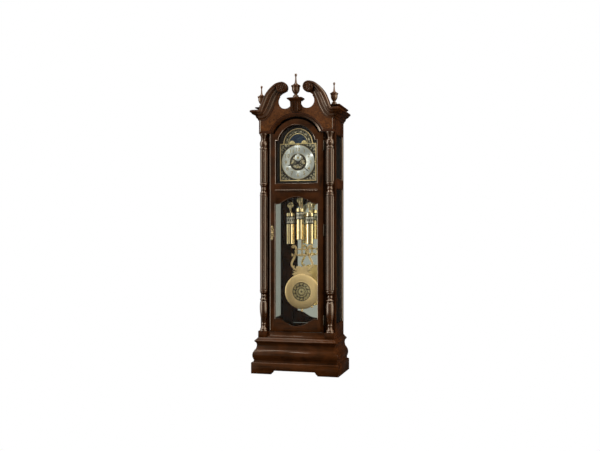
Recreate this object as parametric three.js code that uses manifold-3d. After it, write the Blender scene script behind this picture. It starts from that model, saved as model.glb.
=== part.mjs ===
// Longcase clock with a swan-neck pediment, reeded corner columns and a cable-wound, weight-driven movement.
// Millimetres. +Z is up, +X is to the viewer's right and +Y runs from the front into the case.
// The origin is on the floor, under the middle of the clock.
import * as THREE from 'three';
import { mergeVertices } from 'three/addons/utils/BufferGeometryUtils.js';
import Module from 'manifold-3d';

const wasm = await Module();
wasm.setup();

// ---- Driving dimensions ----------------------------------------------------------------------------------
const WIDTH = 664;
const DEPTH = 392;
const GAP = 0.3;

const FRONT = -DEPTH / 2;
const BACK = DEPTH / 2;
const at = (setback) => FRONT + setback;

const PLINTH_TOP = 86;
const CASE_FLOOR = 265.7;
const CASE_BOTTOM = CASE_FLOOR + GAP;
const CASE_HALF = 288;
const CASE_TOP = 1950;
const BOARD = 18;

const BLOCK_TOP = 313;
const COLUMN_X = 254;
const COLUMN_SETBACK = 69;
const COLUMN_R = 30;
const HOOD_BOTTOM = 1785;

const POST_INNER = 194;
const DOOR_SETBACK = 64;
const DOOR_THICK = 22;
const DOOR_HALF = 204.5;
const DOOR_BOTTOM = 313;
const DOOR_SHOULDER = 1783;
const DOOR_ARCH_Z = 1704;
const DOOR_ARCH_R = 184;
const SIGHT_ARCH_R = 142;
const GLASS = 4;
const HINGE_X = 208.9;
const HINGE_SETBACK = 61.5;

const HOOD_SETBACK = 55;
const HOOD_THICK = 20;
const ARCH_Z = 1713;
const ARCH_R = 194;
const COVE_R = 216;
const CORNICE_BOTTOM = 1886;
const CORNICE_HIGH = 74;
const VOLUTE_X = 101;
const VOLUTE_Z = 2119;
const VOLUTE_R = 41;

const DIAL_SETBACK = 115;
const DIAL_SIZE = 280;
const DIAL_Z = 1573;
const DIAL_ARCH_R = 113;
const CHAPTER_R = 126;
const CHAPTER_INNER_R = 64;
const SECONDS_RISE = 33;

const PLATE_FRONT = 135;
const PLATE_BACK = 203;
const PLATE_THICK = 3;
const SEAT_TOP = 1425;
const SEAT_THICK = 20;

const PENDULUM_SETBACK = 228;
const SUSPENSION_Z = 1595;
const BOB_Z = 599;
const BOB_R = 133.5;

const WEIGHT_X = 74;
const WEIGHT_SETBACK = 170;
const WEIGHT_R = 29.5;
const WEIGHT_LONG = 236;
const PULLEY_RISE = 57;
const CABLE_R = 0.8;
const CABLE_RUN_R = 19.8;

// ---- Finishes --------------------------------------------------------------------------------------------
const finish = (color, roughness, metalness = 0) => () => new THREE.MeshStandardMaterial({
  color, roughness, metalness,
});
const cherry = finish(0x4a2614, 0.35);
const burl = finish(0x6b3f1e, 0.3);
const shadowWood = finish(0x2a1a10, 0.5);
const brass = finish(0xd8b86a, 0.25, 1);
const satinBrass = finish(0xc8af6e, 0.4, 1);
const silver = finish(0xc9cccb, 0.35, 1);
const steel = finish(0x55524c, 0.4, 1);
const black = finish(0x14110f, 0.4);
const blue = finish(0x24364f, 0.5);
const glass = () => new THREE.MeshStandardMaterial({
  color: 0xe8efee, roughness: 0.05, transparent: true, opacity: 0.3,
});
const mirror = finish(0xb9c2c0, 0.05, 1);

// ---- Solids ----------------------------------------------------------------------------------------------
// One welded, outward-facing triangle mesh from any three.js geometry.
function weld(geometry) {
  const bare = geometry.clone();
  bare.deleteAttribute('normal');
  bare.deleteAttribute('uv');
  const merged = mergeVertices(bare, 1e-4);
  const p = merged.attributes.position.array;
  const source = merged.index.array;
  const kept = [];
  let volume = 0;
  for (let i = 0; i < source.length; i += 3) {
    const [a, b, c] = [source[i], source[i + 1], source[i + 2]];
    if (a === b || b === c || c === a) continue;
    kept.push(a, b, c);
    volume += signedVolume(p, a, b, c);
  }
  if (volume < 0) {
    for (let i = 0; i < kept.length; i += 3) [kept[i], kept[i + 1]] = [kept[i + 1], kept[i]];
  }
  merged.setIndex(kept);
  return merged;
}

function signedVolume(p, a, b, c) {
  const va = new THREE.Vector3().fromArray(p, 3 * a);
  const vb = new THREE.Vector3().fromArray(p, 3 * b);
  const vc = new THREE.Vector3().fromArray(p, 3 * c);
  return va.dot(vb.cross(vc)) / 6;
}

function solid(geometry) {
  const welded = weld(geometry);
  return new wasm.Manifold(new wasm.Mesh({
    numProp: 3,
    vertProperties: new Float32Array(welded.attributes.position.array),
    triVerts: new Uint32Array(welded.index.array),
  }));
}

function geometryOf(manifold) {
  const data = manifold.getMesh();
  const geometry = new THREE.BufferGeometry();
  geometry.setAttribute('position', new THREE.BufferAttribute(new Float32Array(data.vertProperties), 3));
  geometry.setIndex(Array.from(data.triVerts));
  return geometry;
}

const join = (...geometries) => geometryOf(
  geometries.map(solid).reduce((whole, next) => whole.add(next)));
const cut = (geometry, ...tools) => geometryOf(
  tools.map(solid).reduce((rest, tool) => rest.subtract(tool), solid(geometry)));

function box(x0, x1, y0, y1, z0, z1) {
  const geometry = new THREE.BoxGeometry(x1 - x0, y1 - y0, z1 - z0);
  return geometry.translate((x0 + x1) / 2, (y0 + y1) / 2, (z0 + z1) / 2);
}

// A flat shape drawn as seen from the front (x, z), given thickness from one setback to another.
function plate(shape, front, back, curveSegments = 10) {
  const geometry = new THREE.ExtrudeGeometry(shape, {
    depth: back - front, bevelEnabled: false, curveSegments,
  });
  return geometry.rotateX(Math.PI / 2).translate(0, at(back), 0);
}

// A section drawn as seen from the right end (y, z), run along X.
function runX(shape, x0, x1, curveSegments = 8) {
  const geometry = new THREE.ExtrudeGeometry(shape, { depth: x1 - x0, bevelEnabled: false, curveSegments });
  const turn = new THREE.Matrix4().makeBasis(
    new THREE.Vector3(0, 1, 0), new THREE.Vector3(0, 0, 1), new THREE.Vector3(1, 0, 0));
  return geometry.applyMatrix4(turn).translate(x0, 0, 0);
}

// A plan section (x, y), run upwards.
function runZ(shape, z0, z1, curveSegments = 8) {
  const geometry = new THREE.ExtrudeGeometry(shape, { depth: z1 - z0, bevelEnabled: false, curveSegments });
  return geometry.translate(0, 0, z0);
}

const points = (pairs) => pairs.map(([a, b]) => new THREE.Vector2(a, b));
const outline = (pairs) => new THREE.Shape(points(pairs));

// A turned piece with its axis upright: pairs of radius and height.
function turned(pairs, x, y, segments = 12) {
  return new THREE.LatheGeometry(points(pairs), segments).rotateX(Math.PI / 2).translate(x, y, 0);
}

// A turned piece with its axis from front to back: pairs of radius and setback.
function disc(pairs, x, z, segments = 24) {
  return new THREE.LatheGeometry(points(pairs), segments).translate(x, FRONT, z);
}

const rod = (r, front, back, x, z, segments = 8) => disc(
  [[0, front], [r, front], [r, back], [0, back]], x, z, segments);
const ring = (rInner, rOuter, front, back, x, z, segments = 40) => disc(
  [[rInner, front], [rOuter, front], [rOuter, back], [rInner, back], [rInner, front]], x, z, segments);

// A closed skin over rings of equal length; flat gives the ring's own plan, for the two end caps.
function loft(rings, flat) {
  const count = flat.length;
  const vertices = rings.flat().flatMap((v) => [v.x, v.y, v.z]);
  const faces = [];
  for (let i = 0; i + 1 < rings.length; i += 1) {
    for (let j = 0; j < count; j += 1) {
      const a = i * count + j;
      const b = i * count + (j + 1) % count;
      faces.push(a, b, b + count, a, b + count, a + count);
    }
  }
  const last = (rings.length - 1) * count;
  const clockwiseRing = THREE.ShapeUtils.isClockWise(points(flat));
  for (const cap of THREE.ShapeUtils.triangulateShape(points(flat), [])) {
    const [a, b, c] = clockwiseRing ? cap.reverse() : cap;
    faces.push(c, b, a, last + a, last + b, last + c);
  }
  const geometry = new THREE.BufferGeometry();
  geometry.setAttribute('position', new THREE.Float32BufferAttribute(vertices, 3));
  geometry.setIndex(faces);
  return geometry;
}

// Stacked rectangles, for a moulding that returns round the front and both sides: each level gives
// its height, its two sides and its front; the back is flat against the wall.
function stack(levels, yBack = BACK) {
  const rings = levels.map(([z, left, right, front]) => [
    new THREE.Vector3(left, front, z), new THREE.Vector3(right, front, z),
    new THREE.Vector3(right, yBack, z), new THREE.Vector3(left, yBack, z),
  ]);
  return loft(rings, [[0, 0], [1, 0], [1, 1], [0, 1]]);
}

const mirrored = (geometry) => geometry.clone().scale(-1, 1, 1);

const clock = new THREE.Group();

function add(name, geometry, material) {
  const mesh = new THREE.Mesh(weld(geometry), material());
  mesh.name = name;
  clock.add(mesh);
}

function addPair(name, geometry, material) {
  add(`${name}_right`, geometry, material);
  add(`${name}_left`, mirrored(geometry), material);
}

// ---- Base ------------------------------------------------------------------------------------------------
// Heights and half-widths of the bombe base. The front steps in by as much as each side does.
const PLINTH_LINE = [[0, 332], [79, 332], [83, 329.5], [PLINTH_TOP, 324]];
const BOMBE_LINE = [
  [PLINTH_TOP + GAP, 318], [93, 315.5], [101, 315.5], [110, 319.5], [122, 323.5], [138, 325], [154, 322],
  [168, 314], [176.5, 308.8], [178.5, 304.5], [184, 302.5], [191, 300], [200, 298], [212, 297.5],
  [222, 299.5], [230, 304.5], [235, 310.5], [238, 312.5], [243, 312.5], [252, 303], [259, 295],
  [CASE_FLOOR, 290.5],
];
const returned = (line) => line.map(([z, half]) => [z, -half, half, FRONT + WIDTH / 2 - half]);

function basePlinth() {
  const foot = outline([
    [-178, -1], [-172, 8], [-166, 11], [-155, 27.5], [155, 27.5], [166, 11], [172, 8], [178, -1]]);
  return cut(
    stack(returned(PLINTH_LINE)),
    box(-310, 310, FRONT + 22, BACK - 20, -1, PLINTH_TOP + 1),
    plate(foot, -1, 30));
}

function baseMoulding() {
  return cut(stack(returned(BOMBE_LINE)), box(-272, 272, FRONT + 60, BACK - 20, 0, CASE_FLOOR - 20));
}

function apronRail() {
  const section = new THREE.Shape();
  section.moveTo(at(85), CASE_BOTTOM);
  section.lineTo(at(85), 310);
  section.lineTo(at(66), 310);
  section.lineTo(at(65), 303);
  section.quadraticCurveTo(at(60), 278, at(49), 274);
  section.lineTo(at(47), CASE_BOTTOM);
  return runX(section, GAP - 223, 223 - GAP);
}

// ---- Columns ---------------------------------------------------------------------------------------------
// Radius and height of the turnings below, between and above the two reeded shafts.
const FOOT_TURNING = [
  [0, BLOCK_TOP + GAP], [30, BLOCK_TOP + GAP], [30.5, 319], [29, 325], [25, 327], [27.5, 332],
  [26, 339], [19, 343], [15.5, 351], [16.5, 368], [20, 398], [24.5, 432], [28, 470], [28.8, 500],
  [27, 524], [22, 537], [28, 541], [29, 546], [28, 551], [21, 554], [17.5, 562], [20, 574],
  [24.5, 582], [28.5, 587], [29.5, 592], [28.5, 598], [24, 602], [29, 607], [30, 612], [29, 618],
  [0, 618],
];
const MIDDLE_TURNING = [
  [0, 1331], [29, 1331], [29.5, 1336], [28.5, 1340], [24, 1343], [27, 1348], [20, 1358], [17.5, 1366],
  [22, 1369], [22, 1374], [17.5, 1377], [20, 1385], [27, 1395], [24, 1400], [28.5, 1403],
  [29.5, 1407], [29, 1412], [0, 1412],
];
const HEAD_TURNING = [
  [0, 1664], [29, 1664], [29.5, 1669], [28, 1674], [24, 1677], [28, 1681], [28, 1687], [22, 1691],
  [25, 1699], [29.5, 1712], [30.5, 1726], [28, 1738], [21, 1747], [18, 1754], [23, 1758],
  [23, 1762], [18, 1766], [20, 1773], [26, 1779], [30.5, 1780], [30.5, HOOD_BOTTOM - GAP],
  [0, HOOD_BOTTOM - GAP],
];
const REEDS = 12;
const SHAFTS = [[616, 1333], [1410, 1666]];

// Plan of the reeded shaft: convex reeds with a sharp quirk between them.
function reededPlan() {
  const reed = COLUMN_R - 2;
  const plan = [];
  for (let i = 0; i < REEDS; i += 1) {
    const start = (i / REEDS) * 2 * Math.PI;
    for (const [step, r] of [[0, reed - 3.2], [0.22, reed - 0.6], [0.5, reed], [0.78, reed - 0.6]]) {
      const angle = start + (step / REEDS) * 2 * Math.PI;
      plan.push([r * Math.cos(angle), r * Math.sin(angle)]);
    }
  }
  return outline(plan);
}

function column() {
  const y = at(COLUMN_SETBACK);
  const shafts = SHAFTS.map(([z0, z1]) => runZ(reededPlan(), z0, z1).translate(COLUMN_X, y, 0));
  const turnings = [FOOT_TURNING, MIDDLE_TURNING, HEAD_TURNING].map((line) => turned(line, COLUMN_X, y, 10));
  return join(...turnings, ...shafts);
}

const columnBlock = () => box(223, 290, at(42), at(100.7), CASE_BOTTOM, BLOCK_TOP);

// ---- Case ------------------------------------------------------------------------------------------------
// The post stops the door and steps back behind the column; its head closes the hood over the column.
function frontPost() {
  const plan = outline([
    [POST_INNER, at(87)], [220, at(87)], [220, at(101)], [CASE_HALF - BOARD - GAP, at(101)],
    [CASE_HALF - BOARD - GAP, at(121)], [POST_INNER, at(121)]]);
  const head = box(210, CASE_HALF - BOARD - GAP, at(75.3), at(120), HOOD_BOTTOM + GAP, 1885);
  return join(runZ(plan, CASE_BOTTOM, HOOD_BOTTOM + 5), head);
}

const WINDOW_SETBACKS = [132, 358];
const WINDOWS = { lower: [365, 1379], upper: [1442, 1780] };
const REBATE = 6;

function sideFrame() {
  const inner = CASE_HALF - BOARD;
  const panel = runX(outline([
    [at(101), CASE_BOTTOM], [at(387), CASE_BOTTOM], [at(387), CASE_TOP], [at(75.3), CASE_TOP],
    [at(75.3), HOOD_BOTTOM + GAP], [at(101), HOOD_BOTTOM + GAP]]), inner, CASE_HALF);
  const [y0, y1] = WINDOW_SETBACKS.map(at);
  const openings = Object.values(WINDOWS).flatMap(([z0, z1]) => [
    box(inner - 1, CASE_HALF + 1, y0, y1, z0, z1),
    box(inner - 1, inner + 11, y0 - REBATE, y1 + REBATE, z0 - REBATE, z1 + REBATE),
  ]);
  const seat = SEAT_TOP - SEAT_THICK;
  const cleat = box(inner - 18, inner + 1, at(138), at(330), seat - 18, seat);
  return join(cut(panel, ...openings), cleat);
}

function sideGlass([z0, z1]) {
  const inset = REBATE - GAP;
  const [y0, y1] = WINDOW_SETBACKS.map(at);
  const x = CASE_HALF - BOARD + 11 - GAP;
  return box(x - GLASS, x, y0 - inset, y1 + inset, z0 - inset, z1 + inset);
}

// ---- Hood ------------------------------------------------------------------------------------------------
// Height above the cornice's bottom and projection from the face: one section serves the swan necks
// and the level cornice that they meet at the corners.
const CORNICE_SECTION = [
  [0, 0], [0, 5], [6, 5.5], [12, 9], [16, 15], [22, 16], [22, 18.5], [29, 18.5], [33, 21], [37, 28],
  [40, 36], [44, 37], [44, 42], [49, 43], [53, 47], [57, 54.5], [67, 54.5], [71, 51], [CORNICE_HIGH, 44],
  [CORNICE_HIGH, 0],
];
// The two edges of the right swan neck on the board: paired stations from the corner to the volute.
const NECK_INNER = [
  [287.7, 1886], [262, 1886], [238, 1891], [215, 1908], [195, 1935], [178, 1968], [164, 2004],
  [151, 2040], [141, 2068], [132, 2092], [123, 2112],
];
const NECK_OUTER = [
  [287.7, 1959.9], [280, 1959.9], [271, 1965], [264, 1983], [257, 2003], [246, 2031], [232, 2062],
  [211, 2093], [184, 2122], [149, 2148], [112, 2159],
];
const NECK_STEPS = 14;

const smooth = (pairs) => new THREE.CatmullRomCurve3(
  pairs.map(([x, z]) => new THREE.Vector3(x, 0, z)), false, 'catmullrom', 0.5);

function neckStation(t) {
  return [smooth(NECK_INNER).getPoint(t), smooth(NECK_OUTER).getPoint(t)];
}

function rosette() {
  const back = HOOD_SETBACK - GAP;
  return disc([
    [0, 0], [5, 0], [8, 4], [18, 2], [27, 1], [31, 6], [34, 6], [37, 2], [VOLUTE_R, 5], [VOLUTE_R, back],
    [0, back]], VOLUTE_X, VOLUTE_Z, 18);
}

function swanNeck() {
  const rings = [];
  for (let i = 0; i <= NECK_STEPS; i += 1) {
    const [inner, outer] = neckStation(i / NECK_STEPS);
    rings.push(CORNICE_SECTION.map(([rise, out]) => {
      const spot = inner.clone().lerp(outer, rise / CORNICE_HIGH);
      return spot.setY(at(HOOD_SETBACK - GAP) - out);
    }));
  }
  return join(loft(rings, CORNICE_SECTION), rosette());
}

// The board behind the swan necks: arched below for the door, with a round cut-out either side of the middle.
function pedimentOutline() {
  const cover = [];
  for (let i = 0; i <= 8; i += 1) {
    const [inner, outer] = neckStation(0.16 + 0.84 * (i / 8));
    cover.push(inner.lerp(outer, 0.8));
  }
  const shape = new THREE.Shape();
  const foot = Math.sqrt(ARCH_R ** 2 - (HOOD_BOTTOM - ARCH_Z) ** 2);
  const spring = Math.atan2(HOOD_BOTTOM - ARCH_Z, foot);
  shape.moveTo(foot, HOOD_BOTTOM);
  shape.lineTo(CASE_HALF - 1, HOOD_BOTTOM);
  shape.lineTo(CASE_HALF - 1, 1945);
  cover.forEach((spot) => shape.lineTo(spot.x, spot.z));
  shape.absarc(VOLUTE_X, VOLUTE_Z, VOLUTE_R - 3, 1.2, 3.9, false);
  shape.bezierCurveTo(90, 2088, 112, 2077, 128, 2061);
  shape.absarc(85, 2020, 54, 0.72, -2.45, true);
  shape.lineTo(36, 2000);
  shape.lineTo(36, 2018);
  halfMirror(shape);
  shape.absarc(0, ARCH_Z, ARCH_R, Math.PI - spring, spring, true);
  return shape;
}

// Continues an outline with its own mirror image, walked back to the start.
function halfMirror(shape) {
  const half = shape.getPoints(6).reverse();
  half.forEach((spot) => shape.lineTo(-spot.x, spot.y));
}

function pedimentBoard() {
  const board = plate(pedimentOutline(), HOOD_SETBACK, HOOD_SETBACK + HOOD_THICK, 6);
  const cove = disc([
    [0, HOOD_SETBACK - 1], [COVE_R, HOOD_SETBACK - 1], [COVE_R, HOOD_SETBACK], [207, HOOD_SETBACK + 2.5],
    [200, HOOD_SETBACK + 8], [197, HOOD_SETBACK + 14], [0, HOOD_SETBACK + 14]], 0, ARCH_Z, 44);
  return cut(board, cove);
}

// Side run of the cornice with its upper tier, on which the side finial stands.
function cornice() {
  const face = at(HOOD_SETBACK);
  const level = ([rise, out]) => [CORNICE_BOTTOM + rise, CASE_HALF + GAP, CASE_HALF + out, face - out];
  const run = [...CORNICE_SECTION.slice(1, -1), [CORNICE_HIGH + 2 * GAP, 43]].map(level);
  const deck = CORNICE_BOTTOM + CORNICE_HIGH;
  const tier = [[GAP, 36], [6, 24], [13, 21], [18, 26], [22, 37], [30, 37]].map(
    ([rise, out]) => [deck + rise, 250.5, CASE_HALF + out, at(113) - out]);
  const bearer = box(250, CASE_HALF + 10, at(93), BACK, CASE_TOP + GAP, deck + 29.9);
  return join(stack(run), stack(tier), bearer);
}

const roofBoard = () => box(-269.7, 269.7, at(75.3), at(387), 1930, 1948);
const backPanel = () => box(-CASE_HALF, CASE_HALF, at(387.3), BACK, CASE_BOTTOM, CASE_TOP);
const backMirror = () => box(-262, 262, at(383.5), at(387), 300, 1370);

function finialPedestal() {
  const body = new THREE.Shape();
  body.moveTo(42, 2021);
  body.quadraticCurveTo(35, 1990, 42, 1958);
  body.quadraticCurveTo(36, 1946, 24, 1948);
  body.quadraticCurveTo(14, 1936, 0, 1936);
  body.quadraticCurveTo(-14, 1936, -24, 1948);
  body.quadraticCurveTo(-36, 1946, -42, 1958);
  body.quadraticCurveTo(-35, 1990, -42, 2021);
  const flutes = [-28, -14, 0, 14, 28].map((x) => turned(
    [[0, 1920], [4.6, 1920], [4.6, 2012], [0, 2017]], x, at(31), 8));
  const tier = [
    [2018.3, 44, 28], [2023, 47, 25], [2028, 55, 17], [2032, 60, 12], [2038, 60, 12], [2044, 46, 25]];
  const cap = stack(tier.map(([z, half, setback]) => [z, -half, half, at(setback)]), at(78));
  return join(cut(plate(body, 31, HOOD_SETBACK - GAP, 5), ...flutes), cap);
}

// Radius and height above the seat of a turned urn finial.
const URN = [
  [0, 0], [23, 0], [24, 4], [20, 7], [23, 10], [21, 14], [12, 19], [11.5, 25], [17, 31], [25, 42],
  [29.5, 56], [29.5, 74], [32.5, 79], [37, 86], [31, 91], [20, 96], [11, 103], [7.5, 116], [5.5, 136],
  [4.8, 153], [7.5, 159], [10, 167.5], [7.5, 175], [0, 178],
];

function finial(x, setback, seat, tip) {
  const scale = (tip - seat) / 178;
  const girth = scale ** 1.6;
  return turned(URN.map(([r, z]) => [r * girth, seat + z * scale]), x, at(setback), 10);
}

// ---- Door ------------------------------------------------------------------------------------------------
function doorOutline() {
  const half = Math.sqrt(DOOR_ARCH_R ** 2 - (DOOR_SHOULDER - DOOR_ARCH_Z) ** 2);
  const spring = Math.atan2(DOOR_SHOULDER - DOOR_ARCH_Z, half);
  const shape = outline([[-DOOR_HALF, DOOR_BOTTOM], [DOOR_HALF, DOOR_BOTTOM], [DOOR_HALF, DOOR_SHOULDER]]);
  shape.absarc(0, DOOR_ARCH_Z, DOOR_ARCH_R, spring, Math.PI - spring, false);
  shape.lineTo(-DOOR_HALF, DOOR_SHOULDER);
  return shape;
}

// Upper sight: square shoulders and an arch. Grow widens it for the glass and its rebate.
function upperSight(grow) {
  const shoulder = 1730 + grow;
  const r = SIGHT_ARCH_R + grow;
  const half = Math.sqrt(r ** 2 - (shoulder - DOOR_ARCH_Z) ** 2);
  const spring = Math.atan2(shoulder - DOOR_ARCH_Z, half);
  const side = 158.5 + grow;
  const shape = outline([[-side, 1412 - grow], [side, 1412 - grow], [side, shoulder]]);
  shape.absarc(0, DOOR_ARCH_Z, r, spring, Math.PI - spring, false);
  shape.lineTo(-side, shoulder);
  return shape;
}

// Lower sight: both rails are sawn to a serpentine line.
function lowerSight(grow) {
  const side = 161 + grow;
  const shape = new THREE.Shape();
  shape.moveTo(-side, 409 - grow);
  shape.quadraticCurveTo(-138, 411 - grow, -120, 402 - grow);
  shape.bezierCurveTo(-82, 384 - grow, -56, 354 - grow, 0, 354 - grow);
  shape.bezierCurveTo(56, 354 - grow, 82, 384 - grow, 120, 402 - grow);
  shape.quadraticCurveTo(138, 411 - grow, side, 409 - grow);
  shape.lineTo(side, 1258 + grow);
  shape.quadraticCurveTo(138, 1256 + grow, 120, 1266 + grow);
  shape.bezierCurveTo(84, 1284 + grow, 56, 1310 + grow, 0, 1310 + grow);
  shape.bezierCurveTo(-56, 1310 + grow, -84, 1284 + grow, -120, 1266 + grow);
  shape.quadraticCurveTo(-138, 1256 + grow, -side, 1258 + grow);
  return shape;
}

function doorFrame() {
  const back = DOOR_SETBACK + DOOR_THICK;
  const blank = plate(doorOutline(), DOOR_SETBACK, back, 12);
  const sights = [upperSight, lowerSight].flatMap((sight) => [
    plate(sight(0), DOOR_SETBACK - 1, back + 1, 7),
    plate(sight(REBATE), DOOR_SETBACK + 10, back + 1, 7),
  ]);
  return cut(blank, ...sights);
}

const GLASS_FACE = DOOR_SETBACK + 10 + GAP;
const doorGlass = (sight) => plate(sight(REBATE - GAP), GLASS_FACE, GLASS_FACE + GLASS, 7);

// Half-round rope: an oval section turned a little further at each station.
function ropeMoulding() {
  const sides = 6;
  const stations = 36;
  const half = 166;
  const ellipse = Array.from({ length: sides }, (_, i) => {
    const angle = (i / sides) * 2 * Math.PI;
    return [5.6 * Math.cos(angle), 3.6 * Math.sin(angle)];
  });
  const rings = Array.from({ length: stations + 1 }, (_, i) => {
    const twist = (i * Math.PI) / 3;
    const x = -half + (2 * half * i) / stations;
    return ellipse.map(([u, v]) => new THREE.Vector3(
      x, at(DOOR_SETBACK - 6) + u * Math.sin(twist) + v * Math.cos(twist),
      1359.5 + (u * Math.cos(twist) - v * Math.sin(twist)) * 1.5));
  });
  return loft(rings, ellipse);
}

// Pierced pull plate with a spear at each end and a small drop pull.
function pullPlate() {
  const shape = new THREE.Shape();
  const side = [[0, 988], [5, 996], [11, 1003], [5, 1009], [9, 1018], [11, 1028], [5, 1037], [8, 1045]];
  const right = [...side, ...side.map(([x, z]) => [x, 2090 - z]).reverse()];
  shape.setFromPoints(points([...right, ...right.slice(1, -1).map(([x, z]) => [-x, z]).reverse()]));
  const pull = disc([[0, 54], [3.5, 54], [5.5, 56], [5.5, 58], [2.5, 60], [2.5, 63], [0, 63]], 0, 1045, 12);
  return join(plate(shape, 62.2, DOOR_SETBACK - GAP, 4), pull).translate(-187, 0, 0);
}

// Case half of a butt hinge: a cranked leaf screwed to the post, and the knuckle that the door turns on.
function hinge(z0, z1) {
  const knuckle = turned([[0, z0], [2.4, z0], [3.5, z0 + 2], [3.5, z1 - 2], [2.4, z1], [0, z1]],
    HINGE_X, at(HINGE_SETBACK), 10);
  const leaf = outline([
    [HINGE_X, at(61)], [HINGE_X + 1.5, at(61)], [HINGE_X + 1.5, at(85.2)], [219, at(85.2)], [219, at(86.7)],
    [HINGE_X, at(86.7)]]);
  return join(knuckle, runZ(leaf, z0 + 3, z1 - 3));
}

// ---- Dial ------------------------------------------------------------------------------------------------
const archedPlate = (half, bottom, spring, r) => {
  const shape = outline([[-half, bottom], [half, bottom], [half, spring]]);
  shape.absarc(0, spring, r, 0, Math.PI, false);
  shape.lineTo(-half, spring);
  return shape;
};

const DIAL_SPRING = DIAL_Z + DIAL_SIZE / 2 - 2;
const WINDING = [[-46, DIAL_Z - 8], [0, DIAL_Z - 38], [46, DIAL_Z - 8]];
const LEVER_X = 132;

function dialPlate() {
  const body = plate(archedPlate(DIAL_SIZE / 2, DIAL_Z - DIAL_SIZE / 2, DIAL_SPRING, DIAL_ARCH_R),
    DIAL_SETBACK, DIAL_SETBACK + 2, 16);
  const centre = disc([[0, 113.7], [63, 113.7], [63, 115.5], [0, 115.5]], 0, DIAL_Z, 24);
  const seconds = disc([[0, 113], [25, 113], [25, 114.5], [0, 114.5]], 0, DIAL_Z + SECONDS_RISE, 16);
  const sky = new THREE.Shape();
  sky.absarc(0, DIAL_SPRING + 2, 70, 0, Math.PI, false);
  const humps = [-47, 47].map((x) => plate(
    new THREE.Shape().absarc(x, DIAL_SPRING + 2, 21, 0, Math.PI, false), DIAL_SETBACK, DIAL_SETBACK + 2, 6));
  const windings = WINDING.map(([x, z]) => rod(4.5, 110, 120, x, z));
  return cut(
    join(body, centre, seconds),
    cut(plate(sky, DIAL_SETBACK - 1, DIAL_SETBACK + 3, 12), ...humps),
    rod(6, 110, 120, 0, DIAL_Z),
    rod(2.4, 110, 120, 0, DIAL_Z + SECONDS_RISE, 8),
    box(LEVER_X - 2, LEVER_X + 2, at(110), at(120), DIAL_Z - 14, DIAL_Z + 14),
    ...windings);
}

function dialMask() {
  const half = DIAL_SIZE / 2;
  const lap = 4;
  const board = plate(archedPlate(230, SEAT_TOP - 24, 1700, 176), 121.3, 127, 10);
  const opening = plate(
    archedPlate(half - lap, DIAL_Z - half + lap, DIAL_SPRING, DIAL_ARCH_R - lap), 120, 128, 10);
  return cut(board, opening);
}

function serpentineHand(length, wide, front, back) {
  const shape = new THREE.Shape();
  shape.moveTo(0, length);
  shape.quadraticCurveTo(wide * 0.6, length * 0.72, wide, length * 0.58);
  shape.quadraticCurveTo(-wide * 0.1, length * 0.44, wide * 0.55, length * 0.2);
  shape.lineTo(4.5, 0);
  shape.absarc(0, 0, 7, -0.4, Math.PI + 0.4, true);
  shape.lineTo(-wide * 0.55, length * 0.2);
  shape.quadraticCurveTo(-wide * 1.2, length * 0.44, -wide * 0.35, length * 0.58);
  shape.quadraticCurveTo(-wide * 0.9, length * 0.72, 0, length);
  return plate(shape, front, back, 5);
}

// Turns a piece that points to twelve clockwise about the dial's centre, as seen from the front.
function clockwise(geometry, degrees, z = DIAL_Z) {
  return geometry.rotateY(THREE.MathUtils.degToRad(degrees)).translate(0, 0, z);
}

function hourHand() {
  const blade = serpentineHand(74, 8, 109.8, 110.8);
  const pipe = ring(3.1, 4.6, 109.5, 136.5, 0, 0, 12);
  return clockwise(join(cut(blade, rod(3.1, 100, 120, 0, 0, 12)), pipe), 251);
}

function minuteHand() {
  const blade = serpentineHand(112, 7, 107.4, 108.4);
  const arbor = disc([
    [0, 104.5], [3.5, 104.5], [4.5, 106], [4.5, 108.6], [2.5, 108.6], [2.5, 136.5], [0, 136.5]], 0, 0, 12);
  return clockwise(join(blade, arbor), 131);
}

function secondHand() {
  const blade = plate(outline([[-0.5, 21], [0.5, 21], [1, 0], [2, -8], [-2, -8], [-1, 0]]), 111.7, 112.3);
  const hub = disc([[0, 111.3], [3, 111.3], [3, 112.7], [1.6, 112.7], [1.6, 136.5], [0, 136.5]], 0, 0, 10);
  return clockwise(join(blade, hub), 40, DIAL_Z + SECONDS_RISE);
}

const MOON_Z = DIAL_SPRING + 2;
const moonDisc = () => disc(
  [[0, 117.3], [80, 117.3], [80, 118.8], [6, 118.8], [6, 122], [2.5, 122], [2.5, 134.6], [0, 134.6]],
  0, MOON_Z, 24);

function selectorLever() {
  const tab = box(LEVER_X - 4.5, LEVER_X + 4.5, at(110.5), at(114.6), DIAL_Z - 4, DIAL_Z + 4);
  const stem = box(LEVER_X - 1.6, LEVER_X + 1.6, at(114.5), at(134), DIAL_Z - 3, DIAL_Z + 3);
  return join(tab, stem);
}

// ---- Movement --------------------------------------------------------------------------------------------
const DRUM_HALF_GAP = 5;
const PLATE_HALF = 104;
const PLATE_TOP = 1636;

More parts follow.
